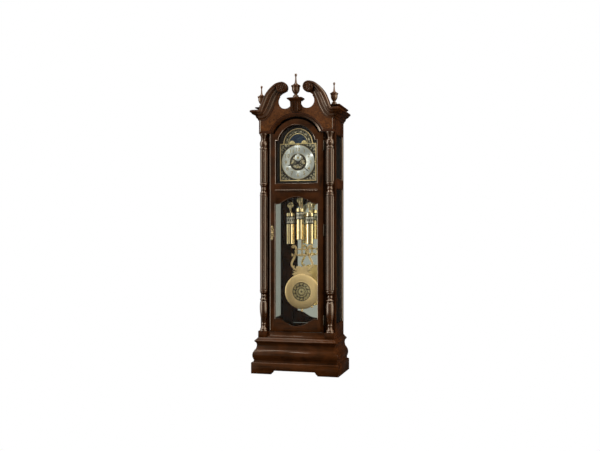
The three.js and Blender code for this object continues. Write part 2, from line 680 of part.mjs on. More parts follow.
function movementFrame() {
  const holes = [
    ...WINDING.map(([x, z]) => [3.2, x, z]), [5.2, 0, DIAL_Z], [2.4, 0, DIAL_Z + SECONDS_RISE]];
  const drill = (front, back) => holes.map(([r, x, z]) => rod(r, front, back, x, z));
  const plates = [PLATE_FRONT, PLATE_BACK].map((front) => cut(
    box(-PLATE_HALF, PLATE_HALF, at(front), at(front + PLATE_THICK), SEAT_TOP + GAP, PLATE_TOP),
    ...drill(front - 1, front + PLATE_THICK + 1)));
  const pillars = [-92, 92].flatMap((x) => [SEAT_TOP + 12, PLATE_TOP - 12].map(
    (z) => rod(5, PLATE_FRONT + 1, PLATE_BACK + 1, x, z)));
  const feet = [-96, 96].flatMap((x) => [SEAT_TOP + 25, PLATE_TOP - 12].map(
    (z) => rod(3, 117.3, PLATE_FRONT + 1, x, z, 6)));
  const bridge = join(
    box(-9, 9, at(PLATE_FRONT), at(PLATE_FRONT + PLATE_THICK), PLATE_TOP - 1, MOON_Z + 10),
    rod(9, PLATE_FRONT, PLATE_FRONT + PLATE_THICK, 0, MOON_Z, 12));
  const arm = join(
    box(-16, 16, at(205), at(209), 1575, 1610),
    box(-11, 11, at(205), at(238), 1600, 1610));
  return join(...plates, ...pillars, ...feet, bridge, arm);
}

// Grooved drum on its winding arbor, whose square shows in the dial.
function drum([x, z]) {
  const front = PLATE_FRONT + PLATE_THICK + DRUM_HALF_GAP;
  const back = PLATE_BACK - DRUM_HALF_GAP;
  return disc([
    [0, 112], [2.6, 112], [2.6, front], [23, front], [23, front + 2], [18.7, front + 3], [18.7, back - 3],
    [23, back - 2], [23, back], [2.6, back], [2.6, 207], [0, 207]], x, z, 12);
}

function seatBoard() {
  const inner = CASE_HALF - BOARD - GAP;
  const board = box(-inner, inner, at(129), at(330), SEAT_TOP - SEAT_THICK + GAP, SEAT_TOP);
  const slot = (x0, x1, setback, reach) => box(
    x0, x1, at(setback - reach), at(setback + reach), SEAT_TOP - SEAT_THICK - 1, SEAT_TOP + 1);
  return cut(
    board,
    slot(-WEIGHT_X - 16, -WEIGHT_X + 27, WEIGHT_SETBACK, 5),
    slot(-27, 16, WEIGHT_SETBACK, 5),
    slot(WEIGHT_X - 27, WEIGHT_X + 16, WEIGHT_SETBACK, 5),
    slot(-75, 75, PENDULUM_SETBACK, 12));
}

function chimeRods() {
  const rods = Array.from({ length: 12 }, (_, i) => turned(
    [[0, 1480 + 9 * i], [2, 1480 + 9 * i], [2, 1815], [0, 1815]], -99 + 18 * i, at(350), 6));
  return join(box(-125, 125, at(338), at(387), 1812, 1846), ...rods);
}

// ---- Pendulum --------------------------------------------------------------------------------------------
// A flat band of constant width along a drawn curve.
function ribbon(pairs, width, steps) {
  const curve = smooth(pairs);
  const sides = [[], []];
  for (let i = 0; i <= steps; i += 1) {
    const spot = curve.getPoint(i / steps);
    const along = curve.getTangent(i / steps);
    const reach = width * (0.32 + 0.18 * Math.sin((Math.PI * i) / steps));
    sides[0].push([spot.x - along.z * reach, spot.z + along.x * reach]);
    sides[1].push([spot.x + along.z * reach, spot.z - along.x * reach]);
  }
  return plate(outline([...sides[0], ...sides[1].reverse()]), 227, 229);
}

const LYRE_ARM = [
  [70, 930], [76, 941], [66, 948], [52, 938], [45, 915], [47, 893], [54, 872], [66, 846], [80, 818],
  [80, 796], [66, 778], [50, 762], [44, 750],
];

function pendulumFrame() {
  const arm = ribbon(LYRE_ARM, 17, 18);
  const panel = new THREE.Shape();
  panel.moveTo(-78, 733);
  panel.quadraticCurveTo(-52, 742, -46, 764);
  panel.lineTo(-50, 786);
  panel.quadraticCurveTo(-22, 800, 0, 786);
  panel.quadraticCurveTo(22, 800, 50, 786);
  panel.lineTo(46, 764);
  panel.quadraticCurveTo(52, 742, 78, 733);
  panel.lineTo(60, 712);
  panel.lineTo(-60, 712);
  const bars = [[876, 68, 5], [920, 46, 4.5]].map(([z, half, thick]) => plate(
    outline([[-half, z - thick], [half, z - thick], [half, z + thick], [-half, z + thick]]), 227, 229));
  const spine = [[452, 780], [872, 1562]].map(
    ([low, high]) => box(-6, 6, at(226.8), at(229.2), low, high));
  const spring = box(-5, 5, at(227.5), at(228.5), 1560, SUSPENSION_Z + 4.4);
  const nut = turned([[0, 450], [7, 450], [8.5, 453], [8.5, 459], [7, 462], [0, 462]],
    0, at(PENDULUM_SETBACK), 10);
  return join(arm, mirrored(arm), plate(panel, 227, 229, 4), ...bars, ...spine, spring, nut);
}

// Dished brass bob, open behind.
const pendulumBob = () => disc([
  [0, 213], [72, 213.4], [75, 215.5], [78, 214.5], [105, 217], [125, 221], [BOB_R, 226], [BOB_R - 3, 226.4],
  [100, 220.5], [70, 218], [0, 217]], 0, BOB_Z, 28);

// ---- Weights ---------------------------------------------------------------------------------------------
// Capped brass cylinder hung by a stirrup from the pulley's axle.
function weight(x, top) {
  const y = at(WEIGHT_SETBACK);
  const bottom = top - WEIGHT_LONG;
  const axle = top + PULLEY_RISE;
  const shell = turned([
    [0, bottom], [WEIGHT_R - 1.5, bottom], [WEIGHT_R, bottom + 1.5], [WEIGHT_R, top - 4], [WEIGHT_R - 3, top],
    [6, top + 2], [4, top + 6], [4, top + 20], [0, top + 20]], x, y, 14);
  const cheeks = [-8, 6.5].map((dy) => box(x - 5, x + 5, y + dy, y + dy + 1.5, top + 18, axle + 5));
  const yoke = box(x - 6, x + 6, y - 8, y + 8, top + 15, top + 22);
  const pin = rod(2, WEIGHT_SETBACK - 7, WEIGHT_SETBACK + 7, x, axle, 10);
  return join(shell, ...cheeks, yoke, pin);
}

const pulley = (x, top) => disc([
  [2.3, 165], [22.5, 165], [22.5, 166.5], [18.7, 168.8], [18.7, 171.2], [22.5, 173.5], [22.5, 175],
  [2.3, 175], [2.3, 165]], x, top + PULLEY_RISE, 14);

// Cable: from the drum down to the pulley's near side, half round it and up to its anchor under the seat
// board. Side is -1 where the drum pays out on its left and 1 where it pays out on its right.
function cable(x, top, [drumX, drumZ], side) {
  const axle = top + PULLEY_RISE;
  const near = x === 0 ? side : -side;
  const route = [[drumX + side * CABLE_RUN_R, drumZ]];
  for (let i = 0; i <= 8; i += 1) {
    const angle = (Math.PI * i) / 8;
    route.push([x + near * CABLE_RUN_R * Math.cos(angle), axle - CABLE_RUN_R * Math.sin(angle)]);
  }
  route.push([x - near * CABLE_RUN_R, SEAT_TOP - SEAT_THICK]);
  const spots = points(route);
  const section = Array.from({ length: 8 }, (_, i) => {
    const angle = (i * Math.PI) / 4;
    return [Math.cos(angle), Math.sin(angle)];
  });
  const rings = spots.map((spot, i) => {
    const before = spots[Math.max(i - 1, 0)];
    const after = spots[Math.min(i + 1, spots.length - 1)];
    const along = after.clone().sub(before).normalize();
    return section.map(([u, v]) => new THREE.Vector3(
      spot.x - along.y * u * CABLE_R, at(WEIGHT_SETBACK) + v * CABLE_R, spot.y + along.x * u * CABLE_R));
  });
  return loft(rings, section);
}

// ---- The clock -------------------------------------------------------------------------------------------
add('base_plinth', basePlinth(), cherry);
add('base_moulding', baseMoulding(), cherry);
add('apron_rail', apronRail(), cherry);
addPair('column_block', columnBlock(), cherry);
addPair('column', column(), cherry);
addPair('front_post', frontPost(), cherry);
addPair('side_frame', sideFrame(), cherry);
addPair('side_glass_upper', sideGlass(WINDOWS.upper), glass);
addPair('side_glass_lower', sideGlass(WINDOWS.lower), glass);
add('back_panel', backPanel(), shadowWood);
add('back_mirror', backMirror(), mirror);
add('roof_board', roofBoard(), shadowWood);
add('pediment_board', pedimentBoard(), burl);
addPair('swan_neck', swanNeck(), cherry);
addPair('cornice', cornice(), cherry);
add('finial_pedestal', finialPedestal(), cherry);
add('finial_centre', finial(0, 50, 2044 + GAP, 2222), cherry);
addPair('finial', finial(279.5, 96, 1990.2, 2152), cherry);

add('door_frame', doorFrame(), cherry);
add('door_glass_upper', doorGlass(upperSight), glass);
add('door_glass_lower', doorGlass(lowerSight), glass);
add('rope_moulding', ropeMoulding(), cherry);
add('pull_plate', pullPlate(), brass);
add('hinge_lower', hinge(365, 440), steel);
add('hinge_middle', hinge(1022, 1108), steel);
add('hinge_upper', hinge(1650, 1725), steel);

add('dial_mask', dialMask(), shadowWood);
add('dial_plate', dialPlate(), satinBrass);
add('chapter_ring', ring(CHAPTER_INNER_R, CHAPTER_R, 113.2, 114.7, 0, DIAL_Z), silver);
add('moon_disc', moonDisc(), blue);
add('hour_hand', hourHand(), black);
add('minute_hand', minuteHand(), black);
add('second_hand', secondHand(), black);
add('selector_lever', selectorLever(), brass);

add('movement_frame', movementFrame(), brass);
add('seat_board', seatBoard(), shadowWood);
add('chime_rods', chimeRods(), steel);
add('pendulum_frame', pendulumFrame(), satinBrass);
add('pendulum_bob', pendulumBob(), satinBrass);

const TRAINS = [['left', -WEIGHT_X, 1196, -1], ['centre', 0, 1230, -1], ['right', WEIGHT_X, 1196, 1]];
TRAINS.forEach(([train, x, top, side], i) => {
  add(`weight_${train}`, weight(x, top), brass);
  add(`pulley_${train}`, pulley(x, top), brass);
  add(`drum_${train}`, drum(WINDING[i]), brass);
  add(`cable_${train}`, cable(x, top, WINDING[i], side), steel);
});

export default clock;
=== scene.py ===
"""Visual model of a longcase clock: cherry case, arched brass dial, cable-hung weights and lyre pendulum."""
from math import acos, comb, cos, degrees, hypot, pi, radians, sin, sqrt

import bmesh
import bpy
import numpy as np
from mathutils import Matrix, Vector


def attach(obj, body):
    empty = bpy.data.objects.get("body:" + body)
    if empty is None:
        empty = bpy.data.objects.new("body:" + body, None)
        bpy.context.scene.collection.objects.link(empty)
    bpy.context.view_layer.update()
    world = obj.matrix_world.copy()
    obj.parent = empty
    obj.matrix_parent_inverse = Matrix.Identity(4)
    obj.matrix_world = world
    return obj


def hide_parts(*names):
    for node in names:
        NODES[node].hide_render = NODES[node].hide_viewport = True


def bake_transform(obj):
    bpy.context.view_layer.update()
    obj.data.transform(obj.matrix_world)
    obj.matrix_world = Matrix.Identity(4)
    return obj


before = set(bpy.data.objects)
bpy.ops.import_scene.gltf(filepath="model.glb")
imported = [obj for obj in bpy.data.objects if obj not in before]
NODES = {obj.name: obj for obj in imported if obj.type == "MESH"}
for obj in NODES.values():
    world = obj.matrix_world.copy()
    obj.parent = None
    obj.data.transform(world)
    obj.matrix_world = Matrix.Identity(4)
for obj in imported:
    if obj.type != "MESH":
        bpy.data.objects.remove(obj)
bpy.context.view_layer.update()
MM = 0.001
FRONT = -196.0  # y of setback 0, in mm


def link(name, data):
    """A new object in the scene."""
    obj = bpy.data.objects.new(name, data)
    bpy.context.scene.collection.objects.link(obj)
    return obj


def fractions(count):
    """0 to 1 in equal steps."""
    return [i / count for i in range(count + 1)]


def oblong(left, right, low, high):
    return [(left, low), (right, low), (right, high), (left, high)]


class Nodes:
    """A node tree under construction, with short ways to add to it."""

    def __init__(self, tree):
        self.tree = tree

    def node(self, kind, inputs=(), **settings):
        made = self.tree.nodes.new("ShaderNode" + kind)
        for key, value in settings.items():
            setattr(made, key, value)
        for key, value in dict(inputs).items():
            self.feed(made.inputs[key], value)
        return made

    def feed(self, socket, value):
        """Links a socket to an output, or sets it. A colour is given as red, green and blue."""
        if isinstance(value, bpy.types.NodeSocket):
            self.tree.links.new(value, socket)
        else:
            socket.default_value = (*value, 1.0) if socket.type == "RGBA" else value

    def math(self, operation, *values):
        return self.node("Math", dict(enumerate(values)), operation=operation).outputs[0]

    def mix(self, factor, a, b, blend="MIX"):
        made = self.node("Mix", data_type="RGBA", blend_type=blend)
        for name, value in (("Factor", factor), ("A", a), ("B", b)):
            self.feed(made.inputs[name], value)
        return made.outputs["Result"]


class Paint(Nodes):
    """A material under construction: a Principled shader and its textures."""

    def __init__(self, name, slot="", **values):
        self.material = bpy.data.materials.new(name)
        self.material.use_nodes = True
        super().__init__(self.material.node_tree)
        self.surface = self.tree.nodes["Principled BSDF"]
        for socket, value in values.items():
            self.feed(self.surface.inputs[socket.replace("_", " ").title().replace("Ior", "IOR")], value)
        self.place = self.node("TexCoord").outputs["Object"]

    def scaled(self, scale):
        return self.node("Mapping", {"Vector": self.place, "Scale": scale}).outputs[0]

    def noise(self, scale, place=None, detail=3.0, distortion=0.0, roughness=0.55):
        return self.node("TexNoise", {"Vector": place or self.place, "Scale": scale, "Detail": detail,
                                      "Distortion": distortion, "Roughness": roughness}).outputs["Fac"]

    def span(self, value, low, high, start=0.0, end=1.0):
        return self.node("MapRange", {"Value": value, "From Min": low, "From Max": high,
                                      "To Min": start, "To Max": end}).outputs["Result"]

    def fade(self, value, low, high, a, b):
        """Colour a where the value is low and b where it is high."""
        return self.mix(self.span(value, low, high), a, b)

    def size_of(self, name, place=None):
        """How far a place or a direction reaches along one axis, either way."""
        return self.math("ABSOLUTE", self.node("SeparateXYZ", {0: place or self.place}).outputs[name])

    def recess(self, reach):
        """1 in the open and towards 0 deep in a recess or corner: the mask for darkening painted into a colour where
        shade falls.
        """
        return self.node("AmbientOcclusion", {"Distance": reach}, samples=8).outputs["AO"]

    def colour(self, value):
        self.feed(self.surface.inputs["Base Color"], value)

    def rough(self, value, low, high):
        self.feed(self.surface.inputs["Roughness"], self.span(value, 0.3, 0.7, low, high))

    def bump(self, height, strength, distance=0.0002):
        made = self.node("Bump", {"Height": height, "Strength": strength, "Distance": distance})
        self.feed(self.surface.inputs["Normal"], made.outputs[0])

    def show(self, shader):
        self.feed(self.tree.nodes["Material Output"].inputs["Surface"], shader)


# ---- Camera, stage and light ----
# Strength of the light from each side, as turns round the clock (0.5 is straight in front, 0.75 its right), with 1
# where it is warm, and the share of it from each height (0.5 is level).
PANELS = [(0.0, 0.02), (0.09, 0.02), (0.11, 0.45), (0.22, 0.45), (0.24, 2.2), (0.335, 2.8), (0.34, 9.0), (0.358, 9.0),
          (0.363, 1.2), (0.40, 1.0), (0.415, 0.44), (0.485, 0.40), (0.52, 0.07), (0.59, 0.10, 1), (0.62, 1.8, 1),
          (0.665, 2.6, 1), (0.712, 2.6, 1), (0.720, 8.0, 1), (0.740, 8.0, 1), (0.747, 2.8, 1), (0.79, 2.8, 1),
          (0.81, 0.9, 1), (0.87, 0.9, 1), (0.90, 0.02, 1), (0.999, 0.02)]
RISES = [(0.0, 0.06), (0.36, 0.32), (0.44, 1.0), (0.74, 1.0), (0.86, 0.85), (0.95, 1.6)]


def make_camera():
    data = bpy.data.cameras.new("camera")
    data.sensor_width, data.lens = 36.0, 48.72
    data.shift_x, data.shift_y = 0.0006, 0.0146
    camera = link("camera", data)
    camera.location = (1.5794, -5.9313, 1.0344)
    camera.rotation_euler = (radians(90.0), 0.0, radians(15.0))
    bpy.context.scene.camera = camera


def make_softbox(name, place, wide, high, power):
    """A lamp that faces the middle of the case."""
    data = bpy.data.lights.new(name, "AREA")
    data.shape = "RECTANGLE"
    data.size, data.size_y, data.energy = wide, high, power
    lamp = link(name, data)
    lamp.location = place
    lamp.rotation_euler = (Vector((0.0, -0.1, 1.4)) - Vector(place)).to_track_quat("-Z", "Y").to_euler()


def make_world():
    """White backdrop to the camera; to everything else a dark studio with broad panels of light in front."""
    world = bpy.data.worlds.new("studio")
    world.use_nodes = True
    sky = Nodes(world.node_tree)

    def ramp(value, stops):
        made = sky.node("ValToRGB", {0: value})
        band = made.color_ramp
        for spot, light, *warm in stops:
            element = band.elements.new(spot)
            green, blue = (0.93, 0.82) if warm else (0.99, 0.96)
            element.color = (light, light * green, light * blue, 1.0)
        band.elements.remove(band.elements[0])
        band.elements.remove(band.elements[-1])
        return made.outputs[0]

    toward = sky.node("SeparateXYZ", {0: sky.node("TexCoord").outputs["Generated"]}).outputs
    azimuth = sky.math("ARCTAN2", toward["X"], sky.math("MULTIPLY", toward["Y"], -1.0))
    panels = ramp(sky.math("MULTIPLY_ADD", azimuth, 1 / (2 * pi), 0.5), PANELS)
    height = ramp(sky.math("MULTIPLY_ADD", toward["Z"], 0.5, 0.5), RISES)
    sight = sky.node("LightPath").outputs["Is Camera Ray"]
    shown = sky.mix(sight, sky.mix(1.0, panels, height, "MULTIPLY"), (1.0, 1.0, 1.0))
    sky.feed(world.node_tree.nodes["Background"].inputs["Color"], shown)
    bpy.context.scene.world = world


def make_floor():
    """A dark floor round the clock, white to the camera."""
    far = 1.35
    mesh = bpy.data.meshes.new("floor")
    mesh.from_pydata([(x, y, -0.001) for x, y in oblong(-far, far, -far, far)], [], [(0, 1, 2, 3)])
    paint = Paint("floor", base_color=(0.02, 0.02, 0.02), roughness=0.9, specular_ior_level=0.0)
    glow = paint.node("Emission", {"Color": (1.0, 1.0, 1.0)}).outputs[0]
    sight = paint.node("LightPath").outputs["Is Camera Ray"]
    paint.show(paint.node("MixShader", {0: sight, 1: paint.surface.outputs[0], 2: glow}).outputs[0])
    mesh.materials.append(paint.material)
    link("floor", mesh)


make_camera()
bpy.context.scene.view_settings.view_transform = "Standard"
make_world()
make_floor()
make_softbox("key_left", (-1.22, -2.84, 4.40), 0.8, 0.3, 22.0)
make_softbox("key_right", (1.37, -3.54, 3.05), 0.35, 0.35, 20.0)

# ---- Materials ----
# Centre and radius of the arched bead that frames the burl, and the height and half width of its straight runs.
ARCH_Z, BURL_R, BURL_FOOT, BURL_HALF = 1713.0, 222.0, 1803.0, 276.5
STILE_INSIDE = 0.161  # half the width between the door's stiles, in m
STRETCH = {"x": (0.07, 1.0, 1.0), "y": (1.0, 0.07, 1.0), "z": (1.0, 1.0, 0.07)}


def cherry(name, grain, dark=(0.010, 0.0034, 0.0010), light=(0.043, 0.0136, 0.0033), recess_darkening=0.9, reach=0.016,
           shine=0.17):
    """Stained cherry under satin lacquer, with shade painted into its recesses along with a dark glaze. Grain is an
    axis, "door" for upright stiles with level rails between them, or "round" for mouldings that return along the sides."""
    paint = Paint(name, "cherry_wood", specular_ior_level=shine, specular_tint=(1.0, 0.84, 0.68))
    if grain == "round":
        side = paint.math("GREATER_THAN", paint.size_of("X", paint.node("NewGeometry").outputs["Normal"]), 0.6)
        place = paint.mix(side, paint.scaled(STRETCH["x"]), paint.scaled(STRETCH["y"]))
    elif grain == "door":
        inside = paint.math("LESS_THAN", paint.size_of("X"), STILE_INSIDE)
        place = paint.mix(inside, paint.scaled(STRETCH["z"]), paint.scaled(STRETCH["x"]))
    else:
        place = paint.scaled(STRETCH[grain])
    figure = paint.noise(16.0, place, detail=4.0, distortion=1.4)
    streaks = paint.noise(110.0, place, detail=5.0, roughness=0.7)
    drift = paint.noise(12.0, detail=2.0)
    depth = paint.math("ADD", paint.math("MULTIPLY", figure, 0.62), paint.math("MULTIPLY", streaks, 0.38))
    wood = paint.fade(depth, 0.36, 0.64, dark, light)
    warm = paint.mix(paint.span(drift, 0.40, 0.62, 0.0, 0.40), wood, (0.068, 0.0195, 0.0044))
    # Shade painted into the colour of recesses and corners, together with a dark glaze.
    shade = paint.span(paint.recess(reach), 0.25, 0.95, recess_darkening, 0.0)
    paint.colour(paint.mix(shade, warm, (0.0055, 0.0026, 0.0014)))
    paint.rough(streaks, 0.10, 0.16)
    paint.bump(streaks, 0.02)
    return paint.material


def burl_veneer():
    """Burl, with a band of straight cherry outside the bead that frames it."""
    paint = Paint("burl_banded", "burl_wood", specular_ior_level=0.2)
    swirl = paint.noise(34.0, detail=6.0, distortion=2.2, roughness=0.65)
    eyes = paint.node("TexVoronoi", {"Vector": paint.place, "Scale": 62.0, "Randomness": 1.0},
                      feature="SMOOTH_F1").outputs["Distance"]
    clouds = paint.noise(11.0, detail=2.0)
    figure = paint.fade(swirl, 0.34, 0.66, (0.026, 0.0082, 0.0024), (0.130, 0.045, 0.0100))
    spotted = paint.mix(paint.span(eyes, 0.06, 0.30, 0.55, 0.0), figure, (0.036, 0.011, 0.0035))
    burl = paint.mix(paint.span(clouds, 0.38, 0.62, 0.0, 0.35), spotted, (0.104, 0.032, 0.0080))
    flat = paint.node("Mapping", {"Vector": paint.place, "Location": (0.0, 0.0, -ARCH_Z * MM),
                                  "Scale": (1.0, 0.0, 1.0)}).outputs[0]
    reach = paint.node("VectorMath", {0: flat}, operation="LENGTH").outputs["Value"]
    near = paint.math("LESS_THAN", reach, BURL_R * MM)
    low = paint.math("LESS_THAN", paint.size_of("Z"), BURL_FOOT * MM)
    wide = paint.math("GREATER_THAN", paint.size_of("X"), BURL_HALF * MM)
    outside = paint.math("MAXIMUM", paint.math("MAXIMUM", near, low), wide)
    grain = paint.noise(90.0, paint.scaled(STRETCH["x"]), detail=4.0)
    band = paint.fade(grain, 0.35, 0.65, (0.018, 0.0056, 0.0018), (0.066, 0.0200, 0.0058))
    # Shade painted into the colour of recesses and corners.
    shade = paint.span(paint.recess(0.012), 0.3, 0.95, 0.8, 0.0)
    paint.colour(paint.mix(shade, paint.mix(outside, burl, band), (0.010, 0.004, 0.002)))
    paint.rough(swirl, 0.18, 0.26)
    paint.bump(swirl, 0.015)
    return paint.material


def plain_wood():
    paint = Paint("dark_wood", specular_ior_level=0.3)
    place = paint.scaled(STRETCH["z"])
    streaks = paint.noise(70.0, place, detail=4.0)
    paint.colour(paint.fade(streaks, 0.35, 0.65, (0.010, 0.006, 0.004), (0.030, 0.017, 0.010)))
    paint.rough(streaks, 0.55, 0.75)
    paint.bump(streaks, 0.15, 0.0005)
    return paint.material


def metal(name, dull, bright, rough, slot="", stretch=(1.0, 1.0, 1.0), scale=60.0, recess_darkening=0.0, reach=0.004,
          grain=0.0, lustre=1.0):
    """Lacquered metal: slow tarnish in the colour, fingering in the gloss, and, if asked, darkening painted into its
    recesses.
    """
    paint = Paint(name, slot, metallic=lustre)
    place = paint.scaled(stretch)
    cloud = paint.noise(14.0)
    fine = paint.noise(scale, place, detail=4.0)
    tone = paint.fade(cloud, 0.35, 0.65, dull, bright)
    # Darkening painted into the colour where the recess mask is low.
    if recess_darkening:
        tone = paint.mix(paint.span(paint.recess(reach), 0.35, 0.95, recess_darkening, 0.0), tone, (0.02, 0.013, 0.007))
    paint.colour(tone)
    paint.rough(fine, rough * 0.75, rough * 1.3)
    if grain:
        paint.bump(fine, grain)
    return paint.material


def mottled(name, scale, detail, dull, bright, rough=(), **values):
    """A finish whose colour drifts a little, and its gloss too if two roughnesses are given."""
    paint = Paint(name, **values)
    drift = paint.noise(scale, detail=detail)
    paint.colour(paint.fade(drift, 0.3, 0.7, dull, bright))
    if rough:
        paint.rough(drift, *rough)
    return paint


def silver_dial():
    """Silvered brass spun on a lathe, so that its highlights fan out from the middle."""
    paint = mottled("silvered", 40.0, 4.0, (0.58, 0.59, 0.57), (0.86, 0.86, 0.81), metallic=0.8, anisotropic=1.0,
                    anisotropic_rotation=0.25, roughness=0.28)
    tangent = paint.node("Tangent", direction_type="RADIAL", axis="Y").outputs[0]
    paint.feed(paint.surface.inputs["Tangent"], tangent)
    return paint.material


def glass():
    """Thin clear glass: a faint green tint straight through, and a sharp reflection that grows at a slant."""
    paint = Paint("clear_glass")
    tint = paint.fade(paint.noise(6.0, detail=2.0), 0.3, 0.7, (0.955, 0.972, 0.962), (0.972, 0.985, 0.978))
    clear = paint.node("BsdfTransparent", {"Color": tint}).outputs[0]
    gloss = paint.node("BsdfGlossy", {"Roughness": 0.015}).outputs[0]
    slant = paint.node("LayerWeight", {"Blend": 0.5}).outputs["Facing"]
    gleam = paint.math("MULTIPLY_ADD", paint.math("POWER", slant, 5.0), 0.9, 0.012)
    paint.show(paint.node("MixShader", {0: gleam, 1: clear, 2: gloss}).outputs[0])
    return paint.material


def painted_sky():
    """Night blue that lightens to soft clouds, with fine stars."""
    paint = Paint("sky_blue", roughness=0.45, specular_ior_level=0.3)
    clouds = paint.noise(42.0, paint.scaled((1.0, 1.0, 2.2)), detail=5.0, roughness=0.6)
    stars = paint.node("TexVoronoi", {"Vector": paint.place, "Scale": 210.0}).outputs["Distance"]
    sky = paint.fade(clouds, 0.50, 0.74, (0.008, 0.019, 0.045), (0.040, 0.062, 0.085))
    paint.colour(paint.mix(paint.span(stars, 0.05, 0.09, 1.0, 0.0), sky, (0.55, 0.55, 0.42)))
    return paint.material


CHERRY_Z, CHERRY_X = cherry("cherry_upright", "z"), cherry("cherry_level", "x")
CHERRY_DOOR = cherry("cherry_door", "door", shine=0.2)
CHERRY_ROUND = cherry("cherry_returned", "round")
TURNED = cherry("cherry_turned", "z", recess_darkening=1.0, reach=0.005, shine=0.9)
FINIAL = cherry("cherry_finial", "z", (0.026, 0.0090, 0.0028), (0.092, 0.033, 0.0090), reach=0.007, shine=1.0)
BEADING = cherry("cherry_beading", "door", recess_darkening=0.3, shine=0.8)
WAXED = (0.014, 0.0046, 0.0014), (0.058, 0.0190, 0.0052)
CARVED = cherry("cherry_carved", "z", *WAXED, recess_darkening=0.95, reach=0.007)
NECK = cherry("cherry_neck", "z", *WAXED, recess_darkening=0.95, reach=0.007, shine=0.8)
PEDIMENT, DARK_WOOD = burl_veneer(), plain_wood()
BRASS = metal("polished_brass", (0.80, 0.60, 0.31), (0.90, 0.73, 0.42), 0.11, recess_darkening=0.75)
CAST_BRASS = metal("cast_brass", (0.86, 0.66, 0.31), (0.96, 0.78, 0.40), 0.24, "polished_brass", recess_darkening=0.9,
                   reach=0.003, lustre=0.6)
FIGURE = metal("figure_bronze", (0.30, 0.22, 0.075), (0.42, 0.32, 0.12), 0.4, "polished_brass", lustre=0.3)
SATIN_BRASS = metal("satin_brass", (0.97, 0.695, 0.335), (1.0, 0.735, 0.375), 0.52, stretch=(1.0, 1.0, 0.05),
                    scale=420.0, grain=0.05, lustre=0.75)
ANTIQUE = metal("antique_ground", (0.014, 0.010, 0.007), (0.030, 0.022, 0.014), 0.5, "satin_brass", scale=300.0,
                lustre=0.2)
PEWTER = metal("pewter_filigree", (0.50, 0.42, 0.26), (0.68, 0.58, 0.38), 0.30, "satin_brass", recess_darkening=0.8,
               reach=0.002, lustre=0.45)
CHASED = metal("chased_silver", (0.70, 0.63, 0.48), (0.90, 0.84, 0.68), 0.26, "satin_brass", lustre=0.6)
SOOT = metal("sooted_ground", (0.006, 0.005, 0.004), (0.014, 0.011, 0.008), 0.6, "satin_brass", lustre=0.1)
TONED = metal("toned_ground", (0.032, 0.023, 0.013), (0.060, 0.044, 0.025), 0.5, "satin_brass", lustre=0.3)
STEEL = metal("steel", (0.16, 0.15, 0.13), (0.26, 0.24, 0.22), 0.4)
DARK_STEEL = metal("browned_steel", (0.045, 0.034, 0.025), (0.09, 0.07, 0.05), 0.42, "steel")
MIRROR = mottled("silvered_mirror", 5.0, 3.0, (0.84, 0.87, 0.79), (0.90, 0.92, 0.84), (0.010, 0.03),
                 metallic=1.0).material
BLACK = mottled("blackened", 300.0, 2.0, (0.006, 0.006, 0.006), (0.014, 0.013, 0.012), (0.3, 0.45), coat_weight=0.3,
                coat_roughness=0.2).material
SILVER, SKY, GLASS = silver_dial(), painted_sky(), glass()

# ---- Making pieces ----


def softening(angle):
    """Modifier group: smooth shading across every edge flatter than the angle, crisp at the others."""
    name = f"soften_{angle}"
    if name in bpy.data.node_groups:
        return bpy.data.node_groups[name]
    group = bpy.data.node_groups.new(name, "GeometryNodeTree")
    for way in ("INPUT", "OUTPUT"):
        group.interface.new_socket("Geometry", in_out=way, socket_type="NodeSocketGeometry")
    entry, bend, flat, faces, edges, leave = (group.nodes.new(kind) for kind in (
        "NodeGroupInput", "GeometryNodeInputMeshEdgeAngle", "FunctionNodeCompare", "GeometryNodeSetShadeSmooth",
        "GeometryNodeSetShadeSmooth", "NodeGroupOutput"))
    flat.operation = "LESS_THAN"
    flat.inputs["B"].default_value = radians(angle)
    faces.domain, edges.domain = "FACE", "EDGE"
    for output, socket in ((entry.outputs[0], faces.inputs["Geometry"]), (faces.outputs[0], edges.inputs["Geometry"]),
                           (bend.outputs["Unsigned Angle"], flat.inputs["A"]),
                           (flat.outputs[0], edges.inputs["Shade Smooth"]), (edges.outputs[0], leave.inputs[0])):
        group.links.new(output, socket)
    return group


def soften(obj, angle):
    obj.modifiers.new("soften", "NODES").node_group = softening(angle)


def keep(node, material, width, angle):
    """A CAD node whose shape is right keeps its mesh and gets its real finish. The edges lose their sharpness
    over the width given, in mm, as sanding and lacquer leave them."""
    obj = NODES[node]
    obj.data.materials.clear()
    obj.data.materials.append(material)
    if width:
        obj.modifiers.new("weld", "WELD").merge_threshold = 1e-5
        bevel = obj.modifiers.new("bevel", "BEVEL")
        bevel.width, bevel.segments = width * MM, 2
        bevel.limit_method, bevel.angle_limit = "ANGLE", radians(angle)
        soften(obj, angle)


def place(parts, name, material, body, replaced="", angle=38):
    """One piece, riding on a body and taking the place of a node. A part's index picks one of several materials."""
    mesh = skin(parts)
    obj = link(name, mesh)
    for one in material if isinstance(material, tuple) else (material,):
        mesh.materials.append(one)
    if angle:
        soften(obj, angle)
    if body:
        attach(obj, body)
    if replaced:
        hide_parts(replaced)
    return obj


def skin(parts):
    """One mesh from (vertices in mm, faces, material index) parts."""
    vertices, faces, owners = [], [], []
    for points, polygons, owner in parts:
        start = len(vertices)
        vertices.extend((x * MM, y * MM, z * MM) for x, y, z in points)
        faces.extend([tuple(start + i for i in face) for face in polygons])
        owners.extend([owner] * len(polygons))
    mesh = bpy.data.meshes.new("piece")
    mesh.from_pydata(vertices, [], faces)
    mesh.polygons.foreach_set("material_index", owners)
    bm = bmesh.new()
    bm.from_mesh(mesh)
    bmesh.ops.remove_doubles(bm, verts=bm.verts, dist=2e-6)
    bmesh.ops.recalc_face_normals(bm, faces=bm.faces)
    bm.to_mesh(mesh)
    bm.free()
    return mesh


